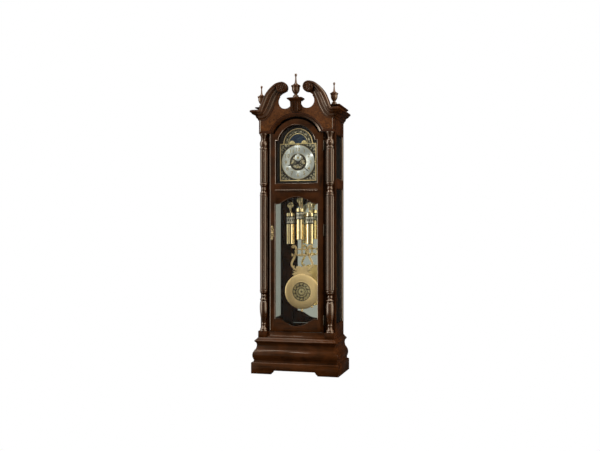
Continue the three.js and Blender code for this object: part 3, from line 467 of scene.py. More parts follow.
def carve(line):
    """Rounds the corners of an open line by cutting them back a quarter of each side."""
    line = np.array(line, float)
    a, b = line[:-1], line[1:]
    cut = np.stack([0.75 * a + 0.25 * b, 0.25 * a + 0.75 * b], 1).reshape(-1, 2)
    return np.vstack([line[:1], cut[1:-1], line[-1:]])


def lathe(profile, x, y, axis="z", segments=40, owner=0):
    """A turned part: (radius, height) pairs round an upright axis, or (radius, setback) pairs round an
    axis that runs front to back and then is given by its x and z."""
    points = []
    for r, h in profile:
        for turn in (2 * pi * i / segments for i in range(segments)):
            u, v = r * cos(turn), r * sin(turn)
            points.append((x + u, y + v, h) if axis == "z" else (x + u, FRONT + h, y + v))
    return points, net(len(profile), segments), owner


def net(rows, count):
    """Faces between neighbouring rings of the same number of points."""
    return [(i * count + j, i * count + (j + 1) % count, (i + 1) * count + (j + 1) % count, (i + 1) * count + j)
            for i in range(rows - 1) for j in range(count)]


def tube_grid(rings, owner=0, caps=True):
    """A tube through rings of equally many points, closed at its ends unless caps is off."""
    count = len(rings[0])
    points, faces = [tuple(p) for ring in rings for p in ring], net(len(rings), count)
    if caps:
        faces += [tuple(range(count)), tuple(range(len(points) - count, len(points)))]
    return points, faces, owner


def plate(outlines, front, back, round_off, owner=0):
    """Flat work drawn as seen from the front: closed outlines of (x, z), the later ones as holes."""
    curve = bpy.data.curves.new("plate", "CURVE")
    curve.dimensions, curve.fill_mode = "2D", "BOTH"
    curve.extrude = max((back - front) / 2 - round_off, 0)
    curve.bevel_depth, curve.bevel_resolution, curve.offset = round_off, 1, -round_off
    for line in outlines:
        spline = curve.splines.new("POLY")
        spline.points.add(len(line) - 1)
        for spot, (x, z) in zip(spline.points, line):
            spot.co = (x, z, 0, 1)
        spline.use_cyclic_u = True
    return lifted(curve, (front + back) / 2, owner)


def lifted(curve, setback, owner=0, squash=1):
    """The mesh of a curve drawn in its own x and y, stood up as seen from the front."""
    holder = link("holder", curve)
    mesh = bpy.data.meshes.new_from_object(holder.evaluated_get(bpy.context.evaluated_depsgraph_get()))
    points = [(v.co.x, FRONT + setback - v.co.z * squash, v.co.y) for v in mesh.vertices]
    faces = [tuple(p.vertices) for p in mesh.polygons]
    bpy.data.objects.remove(holder)
    bpy.data.curves.remove(curve)
    bpy.data.meshes.remove(mesh)
    return points, faces, owner


def strokes(lines, setback, thick, owner=0, resolution=1):
    """Raised tracery: each line is a list of (x, z, half-width), swept as a flattened round bead."""
    curve = bpy.data.curves.new("strokes", "CURVE")
    curve.dimensions, curve.use_fill_caps = "3D", True
    curve.bevel_depth, curve.bevel_resolution = 1, resolution
    widest = max(w for line in lines for _, _, w in line)
    for line in lines:
        spline = curve.splines.new("POLY")
        spline.points.add(len(line) - 1)
        for spot, (x, z, w) in zip(spline.points, line):
            spot.co = (x, z, 0, 1)
            spot.radius = w
    return lifted(curve, setback, owner, thick / widest)


def spot_at(x, z, r, turn):
    """The point r from (x, z), in degrees clockwise from straight up."""
    return x + r * sin(radians(turn)), z + r * cos(radians(turn))


def arc(x, z, r, start, end, steps):
    return [spot_at(x, z, r, start + (end - start) * t) for t in fractions(steps)]


def both_halves(half):
    """A closed outline from its right half, given from one end of the middle line to the other."""
    return half + [(-x, z) for x, z in half[::-1] if x]


def circle(x, z, r, steps=48):
    return arc(x, z, r, 0, 360, steps)[:-1]


def scroll(x, z, r, start, turns, wide):
    """A spiral that starts on its outside, r from (x, z), and winds in to a round eye."""
    return [(*spot_at(x, z, r * (1 - 0.80 * t), start + 360 * turns * t), wide * (0.55 + 0.6 * t))
            for t in fractions(26)]


def scrolls(x, z, r, start, turns, wide):
    """A scroll and its mirror image across x = 0."""
    return [scroll(x, z, r, start, turns, wide), scroll(-x, z, r, 360 - start, -turns, wide)]


def leaf(x, z, length, heading, bend, wide):
    """A tapering, curling leaf."""
    line, turn, steps = [], radians(heading), 8
    for t in fractions(steps):
        line.append((x, z, max(wide * sin(pi * (0.12 + 0.86 * t)), 0.05)))
        x += length / steps * sin(turn)
        z += length / steps * cos(turn)
        turn += radians(bend) / steps
    return line


def turned_about(lines, x, z, angle):
    """The same tracery turned clockwise about the origin, in degrees, and moved."""
    c, s = cos(radians(angle)), sin(radians(angle))
    return [[(x + u * c + v * s, z - u * s + v * c, w) for u, v, w in line] for line in lines]


def ring_of(lines, z, count, start=0, step=None):
    """The same tracery again and again round (0, z), all the way round unless a step in degrees is given."""
    turns = (start + (step or 360 / count) * i for i in range(count))
    return [line for turn in turns for line in turned_about(lines, 0, z, turn)]


def lettering(text, size, x, z, front, deep):
    """Raised figures in the built-in face, centred on (x, z)."""
    curve = bpy.data.curves.new("figure", "FONT")
    curve.body, curve.size = text, size
    curve.align_x = curve.align_y = "CENTER"
    curve.extrude, curve.offset, curve.resolution_u = deep / 2, 0.45, 3
    points, faces, owner = lifted(curve, front + deep / 2)
    xs, zs = [p[0] for p in points], [p[2] for p in points]
    dx, dz = x - (min(xs) + max(xs)) / 2, z - (min(zs) + max(zs)) / 2
    return [(px + dx, py, pz + dz) for px, py, pz in points], faces, owner


def mirrored(parts):
    """The same parts on the other side of x = 0."""
    return [([(-x, y, z) for x, y, z in points], faces, owner) for points, faces, owner in parts]


# Sections of beads, as (across, back): a round, a ridge of two slopes either side of a narrow flat, a chamfer for
# the side windows, one broad slope and one steep, and the step down to the arch of the hood.
ROUND = [(cos(k * pi / 4), sin(k * pi / 4)) for k in range(8)]
GABLE = ((-2.3, 0.5), (-2.3, 0), (-0.3, -0.72), (0.3, -0.72), (2.3, 0), (2.3, 0.5))
CHAMFER = ((-2.6, 0.4), (-2.6, 0), (-0.2, -2.05), (0.2, -2.05), (2.6, 0), (2.6, 0.4))
SHED = ((-2.3, 0.5), (-2.3, 0), (1.6, -1.4), (2.3, 0), (2.3, 0.5))
ARCH_EDGE = ((-6.5, 1), (-6.5, 0), (5.5, -4.9), (6.5, -4.9), (6.5, 1))


def bead(line, y, r=1, section=ROUND, closed=False, owner=0):
    """A bead along a line of (x, z) as seen from the front, mitred at the corners."""
    rings, count = [], len(line)
    for i, spot in enumerate(line):
        before = line[(i - 1) % count] if closed or i else spot
        after = line[(i + 1) % count] if closed or i + 1 < count else spot
        runs = [np.subtract(b, a) for a, b in ((before, spot), (spot, after)) if a != b]
        outs = [np.array((-run[1], run[0])) / max(hypot(*run), 1e-6) for run in runs]
        out = sum(outs) / max(1 + outs[0].dot(outs[-1]), 0.4) if len(outs) > 1 else outs[0]
        rings.append([(spot[0] + r * u * out[0], y + r * v, spot[1] + r * u * out[1]) for u, v in section])
    if closed:
        rings.append(rings[0])
    return tube_grid(rings, owner, caps=not closed)


# ---- Case ----
MOULDED = ("base_moulding", "cornice_right", "cornice_left")
for material, width, nodes in (
        (CHERRY_ROUND, 1.2, "base_plinth"), (CHERRY_ROUND, 0.3, "base_moulding"), (CHERRY_X, 0.5, "apron_rail"),
        (CHERRY_Z, 1.2, "column_block_right column_block_left"), (CHERRY_ROUND, 0.4, "cornice_right cornice_left"),
        (CHERRY_Z, 0.8, "front_post_right front_post_left side_frame_right side_frame_left"),
        (PEDIMENT, 0.4, "pediment_board"), (CARVED, 0.4, "finial_pedestal"), (CHERRY_DOOR, 1.6, "door_frame"),
        (DARK_WOOD, 0.8, "back_panel roof_board seat_board"), (DARK_WOOD, 0.6, "dial_mask"),
        (MIRROR, 0, "back_mirror"),
        (GLASS, 0, "side_glass_upper_right side_glass_upper_left side_glass_lower_right side_glass_lower_left"),
        (DARK_STEEL, 0.2, "hinge_lower hinge_middle hinge_upper"), (STEEL, 0.2, "chime_rods"),
        (BRASS, 0.3, "movement_frame"), (BRASS, 0.4, "selector_lever"),
        (BRASS, 0.2, "drum_left drum_centre drum_right")):
    for node in nodes.split():
        keep(node, material, width, 26 if node in MOULDED else 38)

# Radius and height of the columns' turnings; the reeded shafts run between them.
FOOT_TURNING = [
    (0, 313.3), (30, 313.3), (30.3, 318), (27, 321), (27.8, 325), (27, 330), (22, 337), (17.5, 345), (15.2, 352),
    (16, 357), (18.8, 361), (18.8, 365), (16.6, 369), (17, 376), (20.5, 398), (25, 424), (28.6, 452), (30, 478),
    (30, 505), (28.5, 522), (25.5, 532), (23.5, 537), (24, 541), (28.5, 544), (28.5, 549), (24, 554), (18.5, 560),
    (17.5, 563), (20.2, 568), (20.8, 573), (20, 578), (17.8, 583), (19, 588), (24, 595), (28.8, 600), (29.3, 603),
    (25.5, 605.5), (25.5, 607), (29.8, 610), (30.2, 614), (29, 618), (0, 618)]
MIDDLE_TURNING = [
    (0, 1318), (28.5, 1318), (30, 1322), (30, 1327), (28.5, 1331), (25, 1333), (25, 1336), (29, 1339), (29, 1343),
    (25, 1349), (20.5, 1356), (19, 1359), (22, 1364), (23, 1370), (22, 1376), (18.5, 1381), (18.5, 1385), (22, 1391),
    (26.5, 1398), (25, 1401), (28.5, 1404), (30, 1409), (29, 1414), (28, 1416), (0, 1416)]
HEAD_TURNING = [
    (0, 1666), (28.5, 1666), (30, 1670), (30, 1676), (28, 1680), (24.5, 1683), (25, 1687), (28.5, 1694), (30.3, 1705),
    (29.8, 1716), (27, 1727), (22, 1735), (18, 1739), (17, 1743), (18.5, 1751), (21.5, 1761), (25.5, 1771),
    (29, 1777), (30.2, 1781), (30.5, 1784.7), (0, 1784.7)]
REEDS, REED_POINTS = 12, 8
COLUMN_X, COLUMN_Y = 254, FRONT + 69


def shaft(bottom, top):
    """A shaft of broad reeds with a quirk between them, dying out at both ends."""
    ends = [(0, 24.2), (2, 26.2), (5, 27.6), (9, 28), (10, 28)]
    levels = [(bottom + h, r, min(h / 9, 1)) for h, r in ends]
    levels += [(top - h, r, min(h / 9, 1)) for h, r in reversed(ends)]
    rings = []
    for z, r, depth in levels:
        ring = []
        for i in range(REEDS * REED_POINTS):
            across = abs((i % REED_POINTS) * 2 / REED_POINTS - 1)  # 1 at the quirk, 0 on the crown
            reach = r - 6.6 * depth * across ** 4.5
            turn = 2 * pi * i / (REEDS * REED_POINTS) - radians(6.5)
            ring.append((COLUMN_X + reach * cos(turn), COLUMN_Y + reach * sin(turn), z))
        rings.append(ring)
    return tube_grid(rings)


def softened(profile):
    """The turner's version of a profile: corners eased, the ends on the axis kept."""
    return [profile[0], *map(tuple, carve(profile[1:-1])), profile[-1]]


column = [lathe(softened(line), COLUMN_X, COLUMN_Y) for line in (FOOT_TURNING, MIDDLE_TURNING, HEAD_TURNING)]
column += [shaft(617, 1319), shaft(1415, 1667)]
for side, shift in (("right", 0), ("left", -2 * COLUMN_X)):
    moved = [([(x + shift, y, z) for x, y, z in points], faces, owner) for points, faces, owner in column]
    place(moved, f"column_turned_{side}", TURNED, "case", f"column_{side}", 30)

# Radius and height above the seat of the urn finials.
URN = [
    (0, 0), (23, 0), (24, 4), (20, 7), (23, 10), (21, 14), (12, 19), (11.5, 25), (17, 31), (25, 42), (29.5, 56),
    (29.5, 74), (32.5, 79), (37, 86), (31, 91), (20, 96), (11, 103), (7.5, 116), (5.5, 136), (4.8, 153), (7.5, 159),
    (10, 167.5), (7.5, 175), (0, 178)]
for side, x, setback, seat, tip in (("centre", 0, 50, 2044.3, 2222), ("right", 279.5, 96, 1990.2, 2152),
                                    ("left", -279.5, 96, 1990.2, 2152)):
    scale = (tip - seat) / URN[-1][1]
    profile = [(r * scale ** 1.6, seat + z * scale) for r, z in softened(URN)]
    urn = lathe(profile, x, FRONT + setback, segments=36)
    place([urn], f"finial_urn_{side}", FINIAL, "case", f"finial_{side}", 40)

# Rise across the moulding and projection from the face, and the two edges of the right swan neck.
CORNICE_SECTION = [
    (0, 0), (0, 5), (6, 5.5), (12, 9), (16, 15), (22, 16), (22, 18.5), (29, 18.5), (33, 21), (37, 28), (40, 36),
    (44, 37), (44, 42), (49, 43), (53, 47), (57, 54.5), (67, 54.5), (71, 51), (74, 44), (74, 0)]
NECK_INNER = [
    (287.7, 1886), (262, 1886), (238, 1891), (215, 1908), (195, 1935), (178, 1968), (164, 2004), (151, 2040),
    (141, 2068), (132, 2092), (123, 2112)]
NECK_OUTER = [
    (287.7, 1959.9), (280, 1959.9), (271, 1965), (264, 1983), (257, 2003), (246, 2031), (232, 2062), (211, 2093),
    (184, 2122), (149, 2148), (112, 2159)]
CORNICE_RISE, FACE, NECK_STEPS = 74, 54.7, 44
VOLUTE_X, VOLUTE_Z, VOLUTE_R = 101, 2119, 41


def through(spots, t):
    """Point at t, 0 to 1, on the smooth curve through evenly weighted spots."""
    spots = np.array(spots, float)
    last = len(spots) - 1
    s = min(t * last, last - 1e-9)
    i = int(s)
    u = s - i
    before = spots[i - 1] if i else 2 * spots[0] - spots[1]
    after = spots[i + 2] if i + 2 <= last else 2 * spots[last] - spots[last - 1]
    a, b = 0.5 * (spots[i + 1] - before), 0.5 * (after - spots[i])
    step = spots[i + 1] - spots[i]
    return (a + b - 2 * step) * u ** 3 + (3 * step - 2 * a - b) * u ** 2 + a * u + spots[i]


def petal(turn, start, reach, wide, setback):
    """One cupped petal of the rosette, its rim raised and its middle sunk."""
    points = []
    for t in fractions(5):
        along = start + (reach - start) * t
        half = wide * sin(pi * (0.16 + 0.66 * t))
        for v in (-1, -0.5, 0, 0.5, 1):
            lift = 0.8 * setback * (0.25 + 0.75 * abs(v) ** 1.5) * sin(pi * (0.1 + 0.85 * t))
            u = along - 2.2 * v * v * t
            x = VOLUTE_X + u * cos(turn) - half * v * sin(turn)
            z = VOLUTE_Z + u * sin(turn) + half * v * cos(turn)
            points.append((x, FRONT + setback - lift, z))
    points += [(x, FRONT + setback + 1.2, z) for x, _, z in points]
    front = [(i * 5 + j, i * 5 + j + 1, i * 5 + j + 6, i * 5 + j + 5) for i in range(5) for j in range(4)]
    rim = [0, 1, 2, 3, 4, 9, 14, 19, 24, 29, 28, 27, 26, 25, 20, 15, 10, 5]
    return points, front + [(a, b, b + 30, a + 30) for a, b in zip(rim, rim[1:] + rim[:1])], 1


def swan_neck():
    """The right neck: the cornice swept up between its two edges, and a volute with a rosette of sixteen petals."""
    rings = []
    for t in fractions(NECK_STEPS):
        inner, outer = through(NECK_INNER, t), through(NECK_OUTER, t)
        spots = [(*(inner + (outer - inner) * rise / CORNICE_RISE), out) for rise, out in CORNICE_SECTION]
        rings.append([(x, FRONT + FACE - out, z) for x, z, out in spots])
    drum = [(0, 7), (28, 7), (28.8, 2), (30.5, 0.8), (33, 1.2), (34.2, 4.5), (36, 5), (39, 7.5), (40.6, 12),
            (VOLUTE_R, 18), (VOLUTE_R, FACE), (0, FACE)]
    boss = [(0, 0.2), (4, 0.4), (7, 2), (8, 5)]
    petals = [petal(2 * pi * (i + 0.5 * ring) / 8, 6, reach, wide, 5.2 - 1.6 * ring)
              for ring, reach, wide in ((0, 27.5, 8.4), (1, 16.5, 5.2)) for i in range(8)]
    return [tube_grid(rings), lathe(drum, VOLUTE_X, VOLUTE_Z, "y", 56, 1), lathe(boss, VOLUTE_X, VOLUTE_Z, "y", 20, 1),
            *petals]


# Beads round the side windows, laid out flat as (y, z) and then stood against the case's side.
CASE_SIDE, WINDOW_FRONT, WINDOW_BACK, BEAD_INSET = 285, 132, 358, 4
trim = []
for low, high in ((365, 1379), (1442, 1780)):
    loop = oblong(FRONT + WINDOW_FRONT + BEAD_INSET, FRONT + WINDOW_BACK - BEAD_INSET, low + BEAD_INSET,
                  high - BEAD_INSET)
    points, faces, owner = bead(loop, 0, 1.5, CHAMFER)
    trim.append(([(CASE_SIDE - v, u, z) for u, v, z in points], faces, owner))
neck = swan_neck()
for side, turn in (("right", list), ("left", mirrored)):
    place(turn(neck), f"swan_neck_carved_{side}", (NECK, CARVED), "case", f"swan_neck_{side}", 32)
for side, turn in (("right", list), ("left", mirrored)):
    place(turn(trim), f"side_beads_{side}", BEADING, "case", "", 10)

# Bead that frames the burl of the pediment, up each side, along the foot and over the arch, and the stepped edge of
# the hood's arch below it.
bead_turn = degrees(acos((BURL_FOOT - ARCH_Z) / BURL_R))
foot_x = sqrt(BURL_R ** 2 - (BURL_FOOT - ARCH_Z) ** 2) + 2
frame_bead = [(-BURL_HALF, 1884), (-BURL_HALF, BURL_FOOT), (-foot_x, BURL_FOOT),
              *arc(0, ARCH_Z, BURL_R, -bead_turn, bead_turn, 48), (foot_x, BURL_FOOT), (BURL_HALF, BURL_FOOT)]
ridges = [bead(frame_bead, FRONT + 55, section=SHED),
          bead([(BURL_HALF, BURL_FOOT), (BURL_HALF, 1884)], FRONT + 55, section=GABLE),
          bead(arc(0, ARCH_Z, 201.2, -67, 67, 60), FRONT + 55, section=ARCH_EDGE)]
place(ridges, "pediment_bead", BEADING, "case", "", 10)

# ---- Door ----
DOOR_FACE = FRONT + 64


def bezier(spots, steps):
    """Points on the Bezier curve that the spots steer, without its first."""
    last, line = len(spots) - 1, []
    for t in fractions(steps)[1:]:
        shares = [comb(last, k) * t ** k * (1 - t) ** (last - k) for k in range(last + 1)]
        line.append(tuple(sum(share * spot[axis] for share, spot in zip(shares, spots)) for axis in (0, 1)))
    return line


def upper_sight(grow):
    """Edge of the arched upper window, grown outwards."""
    shoulder, r, side = 1730 + grow, 142 + grow, 158.5 + grow
    spring = degrees(acos((shoulder - 1704) / r))
    return [(-side, 1412 - grow), (side, 1412 - grow), (side, shoulder), *arc(0, 1704, r, spring, -spring, 36),
            (-side, shoulder)]


def lower_sight(grow):
    """Edge of the lower window with its shaped foot and head, grown outwards."""
    side = 161 + grow
    foot = [(0, 354), *bezier(((0, 354), (56, 354), (82, 384), (120, 402)), 14),
            *bezier(((120, 402), (138, 411), (side, 409)), 5)]
    head = [(side, 1258), *bezier(((side, 1258), (138, 1256), (120, 1266)), 5),
            *bezier(((120, 1266), (84, 1284), (56, 1310), (0, 1310)), 14)]
    return both_halves([(x, z - grow) for x, z in foot] + [(x, z + grow) for x, z in head])


def bevelled_glass(sight, face):
    """A pane with a wide polished bevel ground round its edge."""
    rings = [[(x, FRONT + y, z) for x, z in sight(grow)]
             for grow, y in ((-15, face), (5.5, face + 2), (5.5, face + 4))]
    return tube_grid(rings)


place([bevelled_glass(upper_sight, 74.4)], "bevelled_glass_upper", GLASS, "door", "door_glass_upper", 0)
place([bevelled_glass(lower_sight, 74.4)], "bevelled_glass_lower", GLASS, "door", "door_glass_lower", 0)
glazing = [bead(sight(2.4), DOOR_FACE, section=GABLE, closed=True) for sight in (upper_sight, lower_sight)]
glazing.append(bead([(-201.2, 315), (-201.2, 1781)], DOOR_FACE, section=GABLE))
place(glazing, "glazing_beads", BEADING, "door", "", 10)


def rope():
    """Three strands laid round each other; the front half stands proud of the rail."""
    rings = []
    for x in (-165.8 + 331.6 * t for t in fractions(264)):
        taper = min(1, (166 - abs(x)) / 5) ** 0.5
        ring = []
        for turn in (2 * pi * k / 24 for k in range(24)):
            groove = abs(cos(1.5 * (turn - 2 * pi * x / 64)))
            reach = taper * (0.22 + 0.78 * groove ** 1.3)
            ring.append((x, FRONT + 58 + 5.6 * reach * cos(turn), 1359.5 + 8.2 * reach * sin(turn)))
        rings.append(ring)
    return tube_grid(rings)


place([rope()], "rope_carved", NECK, "door", "rope_moulding", 60)

# Pierced pull plate: a spear head at each end, three open loops, the drop pull in the middle and two screws.
SPEAR = [(0, 988), (4, 993), (9.5, 999.5), (11, 1003), (8.5, 1006.5), (3.4, 1009), (2.4, 1012.5)]
PULL_X, PULL_Z = -187, 1045
head = both_halves(SPEAR)
loops = [[(PULL_X + w * sin(t), z - 10.6 * cos(t), 2.2) for t in (2 * pi * t for t in fractions(28))]
         for z, w in ((1022.5, 8.6), (1045, 7.4), (1067.5, 8.6))]
drop = [(0, 54), (3.4, 54.1), (5.4, 55.6), (5.5, 57.6), (3, 60), (2.5, 62.6), (5, 62.9), (5, 63.5), (0, 63.5)]
screw = [(0, 61.6), (1.2, 61.8), (1.7, 62.5), (1.7, 63.4), (0, 63.5)]
pull = [plate([[(x + PULL_X, z) for x, z in line]], 62.3, 63.6, 0.35)
        for line in (head, [(x, 2 * PULL_Z - z) for x, z in head][::-1])]
pull += [strokes(loops, 63, 0.9, 0, 2), lathe(drop, PULL_X, PULL_Z, "y", 24)]
pull += [lathe(screw, PULL_X, z, "y", 12) for z in (995.5, 1094.5)]
place(pull, "pull_pierced", BRASS, "door", "pull_plate", 35)

for name, low, high in (("lower", 365, 440), ("middle", 1022, 1108), ("upper", 1650, 1725)):
    hinge = plate([oblong(204.9, 206.3, low + 3, high - 3)], 63, 85, 0.2)
    place([hinge], f"hinge_leaf_{name}", DARK_STEEL, "door")

# ---- Dial ----
DIAL_Z, ARCH_SPRING, SECONDS_Z, MOON_Z = 1573, 1711, 1606, 1713
MOON_HUMP_X = 47  # either side, the globes that hide the moon before it rises and after it sets


def arched(half, bottom, r, shoulder=ARCH_SPRING):
    """Outline of a square dial with a round arch on top."""
    step = [(r, shoulder)] * (shoulder < ARCH_SPRING)
    return [(-half, bottom), (half, bottom), (half, shoulder), *step, *arc(0, ARCH_SPRING, r, 90, -90, 48),
            *((-x, z) for x, z in step), (-half, shoulder)]


def dial_spun(profile, z, segments, owner=0, x=0):
    """A turned part of the dial, as (radius, setback) pairs."""
    return lathe(profile, x, z, "y", segments, owner)


def marks_round(count, z, near, far, fine, bold):
    """Short strokes all round a circle, every fifth of them bold."""
    return [[(*spot_at(0, z, r, 360 / count * i), fine if i % 5 else bold) for r in (near, far)]
            for i in range(count)]


def corner_pieces():
    """Cast scrollwork in the four corners, drawn from a corner at (0, 0) towards the ring."""
    lines = [
        scroll(-17, -17, 12, 225, 1.4, 2.1), scroll(-41, -12, 9.5, 60, -1.2, 1.8), scroll(-12, -41, 9.5, 30, 1.2, 1.8),
        scroll(-63, -8.5, 6, 300, 1.1, 1.4), scroll(-8.5, -63, 6, 150, -1.1, 1.4), leaf(-3, -3, 12, 225, 0, 2.6),
        leaf(-28, -28, 13, 225, 50, 2.2), leaf(-28, -28, 13, 225, -50, 2.2), leaf(-27, -5, 19, 262, 30, 1.9),
        leaf(-5, -27, 19, 188, -30, 1.9)]
    cast = []
    for turn in (0, 90, 180, 270):
        x, z = spot_at(0, DIAL_Z, 133.5 * sqrt(2), 45 + turn)
        cast += turned_about(lines, x, z if turn in (90, 180) else min(z, 1705), turn)
    return cast


def arch_marks():
    """The scale over the moon: thirty steps, every fifth of them long, and scrolls in the spaces."""
    z = MOON_Z - 2
    lines = [[(*spot_at(0, z, r, -84 + 5.6 * i), 0.9) for r in (98 if i % 5 else 80, 104)] for i in range(31)]
    return lines + ring_of([*scrolls(-5.5, 88, 6.5, 200, 1.2, 1.5), leaf(0, 82, 14, 0, 0, 1.8)], z, 6, -70, 28)


def dial():
    """Antique ground with the sky window cut out, raised brass rims and cast corner pieces."""
    humps = [arc(x, MOON_Z, 21, -90, 90, 14) for x in (-MOON_HUMP_X, MOON_HUMP_X)]
    window = arc(0, MOON_Z, 70, 90, -90, 40) + humps[0] + humps[1]
    ground = plate([arched(139.5, 1433.5, 112.5), window, circle(0, DIAL_Z, 60)], 115.05, 116.9, 0.1, 1)
    centre = dial_spun([(6, 115.2), (6, 113.9), (61, 113.9), (62.8, 114.2), (62.8, 115.5), (6, 115.5)], DIAL_Z, 64, 1)
    rim = plate([arched(140, 1433, 113), arched(134.5, 1438.5, 108.5, 1706)], 113.4, 115.4, 0.4)
    band = plate([oblong(-139, 139, 1706, 1711.5)], 113.8, 115.3, 0.4)
    moon_rim = plate([arc(0, MOON_Z, 74.5, 90, -90, 48) + arc(0, MOON_Z, 70.2, -90, 90, 48)], 113.6, 115.3, 0.4)
    ridge = bead(arched(137.2, 1435.8, 110.8, 1708.5), FRONT + 113.5, 1.15, GABLE, True, 3)
    parts = [rim, ridge, ground, centre, band, moon_rim]
    for x in (-MOON_HUMP_X, MOON_HUMP_X):
        meridians = [[(x + 14 * sin(a) * k, MOON_Z + 1.5 + 15 * cos(a), 0.4)
                      for a in (radians(15 * i) for i in range(-5, 6))] for k in (-1, -0.4, 0.4, 1)]
        parts += [plate([arc(x, MOON_Z, 20.8, -90, 90, 20)], 114.3, 115.3, 0.3), strokes(meridians, 114.2, 0.3, 2)]
    parts.append(strokes(corner_pieces(), 114.8, 0.9, 2))
    middle = ring_of([*scrolls(-8.5, 40, 9, 200, 1.3, 1.7), leaf(0, 24, 28, 0, 0, 2.6),
                      leaf(-3, 15, 20, -18, -40, 1.8), leaf(3, 15, 20, 18, 40, 1.8)], DIAL_Z, 6, 30)
    parts += [strokes(middle, 113.8, 0.7, 2), strokes(arch_marks(), 114.9, 0.5, 2)]
    tab = both_halves([(6, 1701), (15, 1705), (9, 1707), (5, 1713), (0, 1716)])
    parts += [plate([line], 112.9, 114.2, 0.4) for line in (tab, [(x * 1.15, 3143.5 - z) for x, z in tab])]
    return parts + [dial_spun([(4.5, 115), (4.5, 113.3), (6.8, 113.3), (7.2, 114)], z, 20, 0, x)
                    for x, z in ((-46, 1565), (0, 1535), (46, 1565))]


place(dial(), "dial_arched", (CAST_BRASS, ANTIQUE, PEWTER, SATIN_BRASS), "case", "dial_plate", 40)
seconds = [(2.5, 113.6), (8.5, 113.6), (8.6, 113.2), (24.2, 113.1), (25, 113.5), (25, 114.4), (2.5, 114.4)]
place([dial_spun(seconds, SECONDS_Z, 48)], "seconds_dial", SILVER, "case")
collar = dial_spun([(2.6, 113.5), (3.2, 112.9), (8, 112.9), (8.5, 113.6)], SECONDS_Z, 28)
place([collar, strokes(marks_round(30, SECONDS_Z, 19.5, 22.5, 0.35, 0.7), 113.05, 0.2)], "seconds_marks", CAST_BRASS,
      "case")

chapter = [(64, 113.7), (65, 113.25), (124.5, 113.25), (125.5, 113.7), (125.5, 114.6), (64, 114.6), (64, 113.7)]
outer_rim = [(124.4, 113.4), (124.6, 112.9), (126.4, 112.9), (127, 113.4), (127, 114.6), (124.4, 114.6)]
inner_rim = [(63.2, 114.6), (63.2, 113), (64.6, 112.9), (65.2, 113.4)]
figures = [lettering(str(hour), 38, *spot_at(0, DIAL_Z, 95, 30 * hour), 112.85, 0.4) for hour in range(1, 13)]
place([dial_spun(chapter, DIAL_Z, 144)], "chapter_ring_spun", SILVER, "case", "chapter_ring")
place([dial_spun(outer_rim, DIAL_Z, 144), dial_spun(inner_rim, DIAL_Z, 96)], "chapter_rims", CAST_BRASS, "case", "", 30)
place(figures, "hour_figures", FIGURE, "case", "", 30)
place([strokes(marks_round(60, DIAL_Z, 117.5, 122.5, 0.32, 0.7), 113.2, 0.15)], "minute_marks", BLACK, "case")


def pierced_hand(length, wide, tip):
    """A serpentine hand pointing to twelve: a pierced heart of two scrolls, a slim neck and a leaf."""
    side = [(3.4, 9, 2), (wide * 0.9, length * 0.20, 1.8), (wide * 1.15, length * 0.30, 2),
            (wide * 0.75, length * 0.40, 1.8), (0.4, length * 0.47, 2)]
    blade = [(0, length * at, half) for at, half in ((0.45, 2.6), (0.62, 2.2), (0.72, tip * 0.7), (0.82, tip),
                                                     (0.90, tip * 0.7), (0.95, tip * 0.4), (1, 0.6))]
    return [side, [(-x, z, w) for x, z, w in side], blade,
            *scrolls(wide * 0.42, length * 0.31, wide * 0.36, 180, 1.2, 1.3),
            *scrolls(2.8, length * 0.63, 2.2, 200, 1.1, 0.8)]


def place_hand(name, new_name, lines, z, turn, setback, thick, hub, segments):
    """A hand in the place of the plain one: drawn pointing to twelve, turned clockwise, and set on its hub."""
    parts = [strokes(turned_about(lines, 0, z, turn), setback, thick, 0, 2), dial_spun(hub, z, segments)]
    place(parts, new_name, BLACK, name, name)


place_hand("minute_hand", "minute_hand_pierced", pierced_hand(112, 9, 3.4), DIAL_Z, 131, 107.9, 0.45,
           [(0, 104.6), (3.4, 104.7), (4.4, 106), (8.4, 107.2), (8.4, 108.4), (2.5, 108.5), (2.5, 136.5), (0, 136.5)],
           28)
place_hand("hour_hand", "hour_hand_pierced", pierced_hand(82, 11, 5.8), DIAL_Z, 251, 110.3, 0.45,
           [(3.1, 109.8), (9.2, 109.9), (9.2, 110.8), (4.6, 110.9), (4.6, 136.4), (3.1, 136.4), (3.1, 109.8)], 28)
needle = [(0, 21, 0.25), (0, 8, 0.55), (0, 0, 0.9), (0, -6, 0.7), (0, -9.5, 1.8)]
place_hand("second_hand", "second_hand_fine", [needle], SECONDS_Z, 40, 112, 0.3,
           [(0, 111.3), (2.6, 111.5), (3, 112.1), (1.6, 112.6), (1.6, 136.4), (0, 136.4)], 20)
moon = [(0, 117.4), (80, 117.4), (80, 118.7), (6, 118.8), (6, 122), (2.5, 122), (2.5, 134.6), (0, 134.6)]
place([dial_spun(moon, MOON_Z, 96)], "moon_disc_painted", SKY, "moon_disc", "moon_disc")

# ---- Weights and cables ----
WEIGHT_Y, WEIGHT_R, AXLE_RISE, CABLE_R, CLAMP_Z = 170, 29.5, 57, 19.8, 1405
# By train: the weight's x and top, the side of the drum that its cable leaves, and the drum's centre.
WEIGHTS = {"left": (-74, 1196, -1, (-46, 1565)), "centre": (0, 1230, -1, (0, 1535)),
           "right": (74, 1196, 1, (46, 1565))}
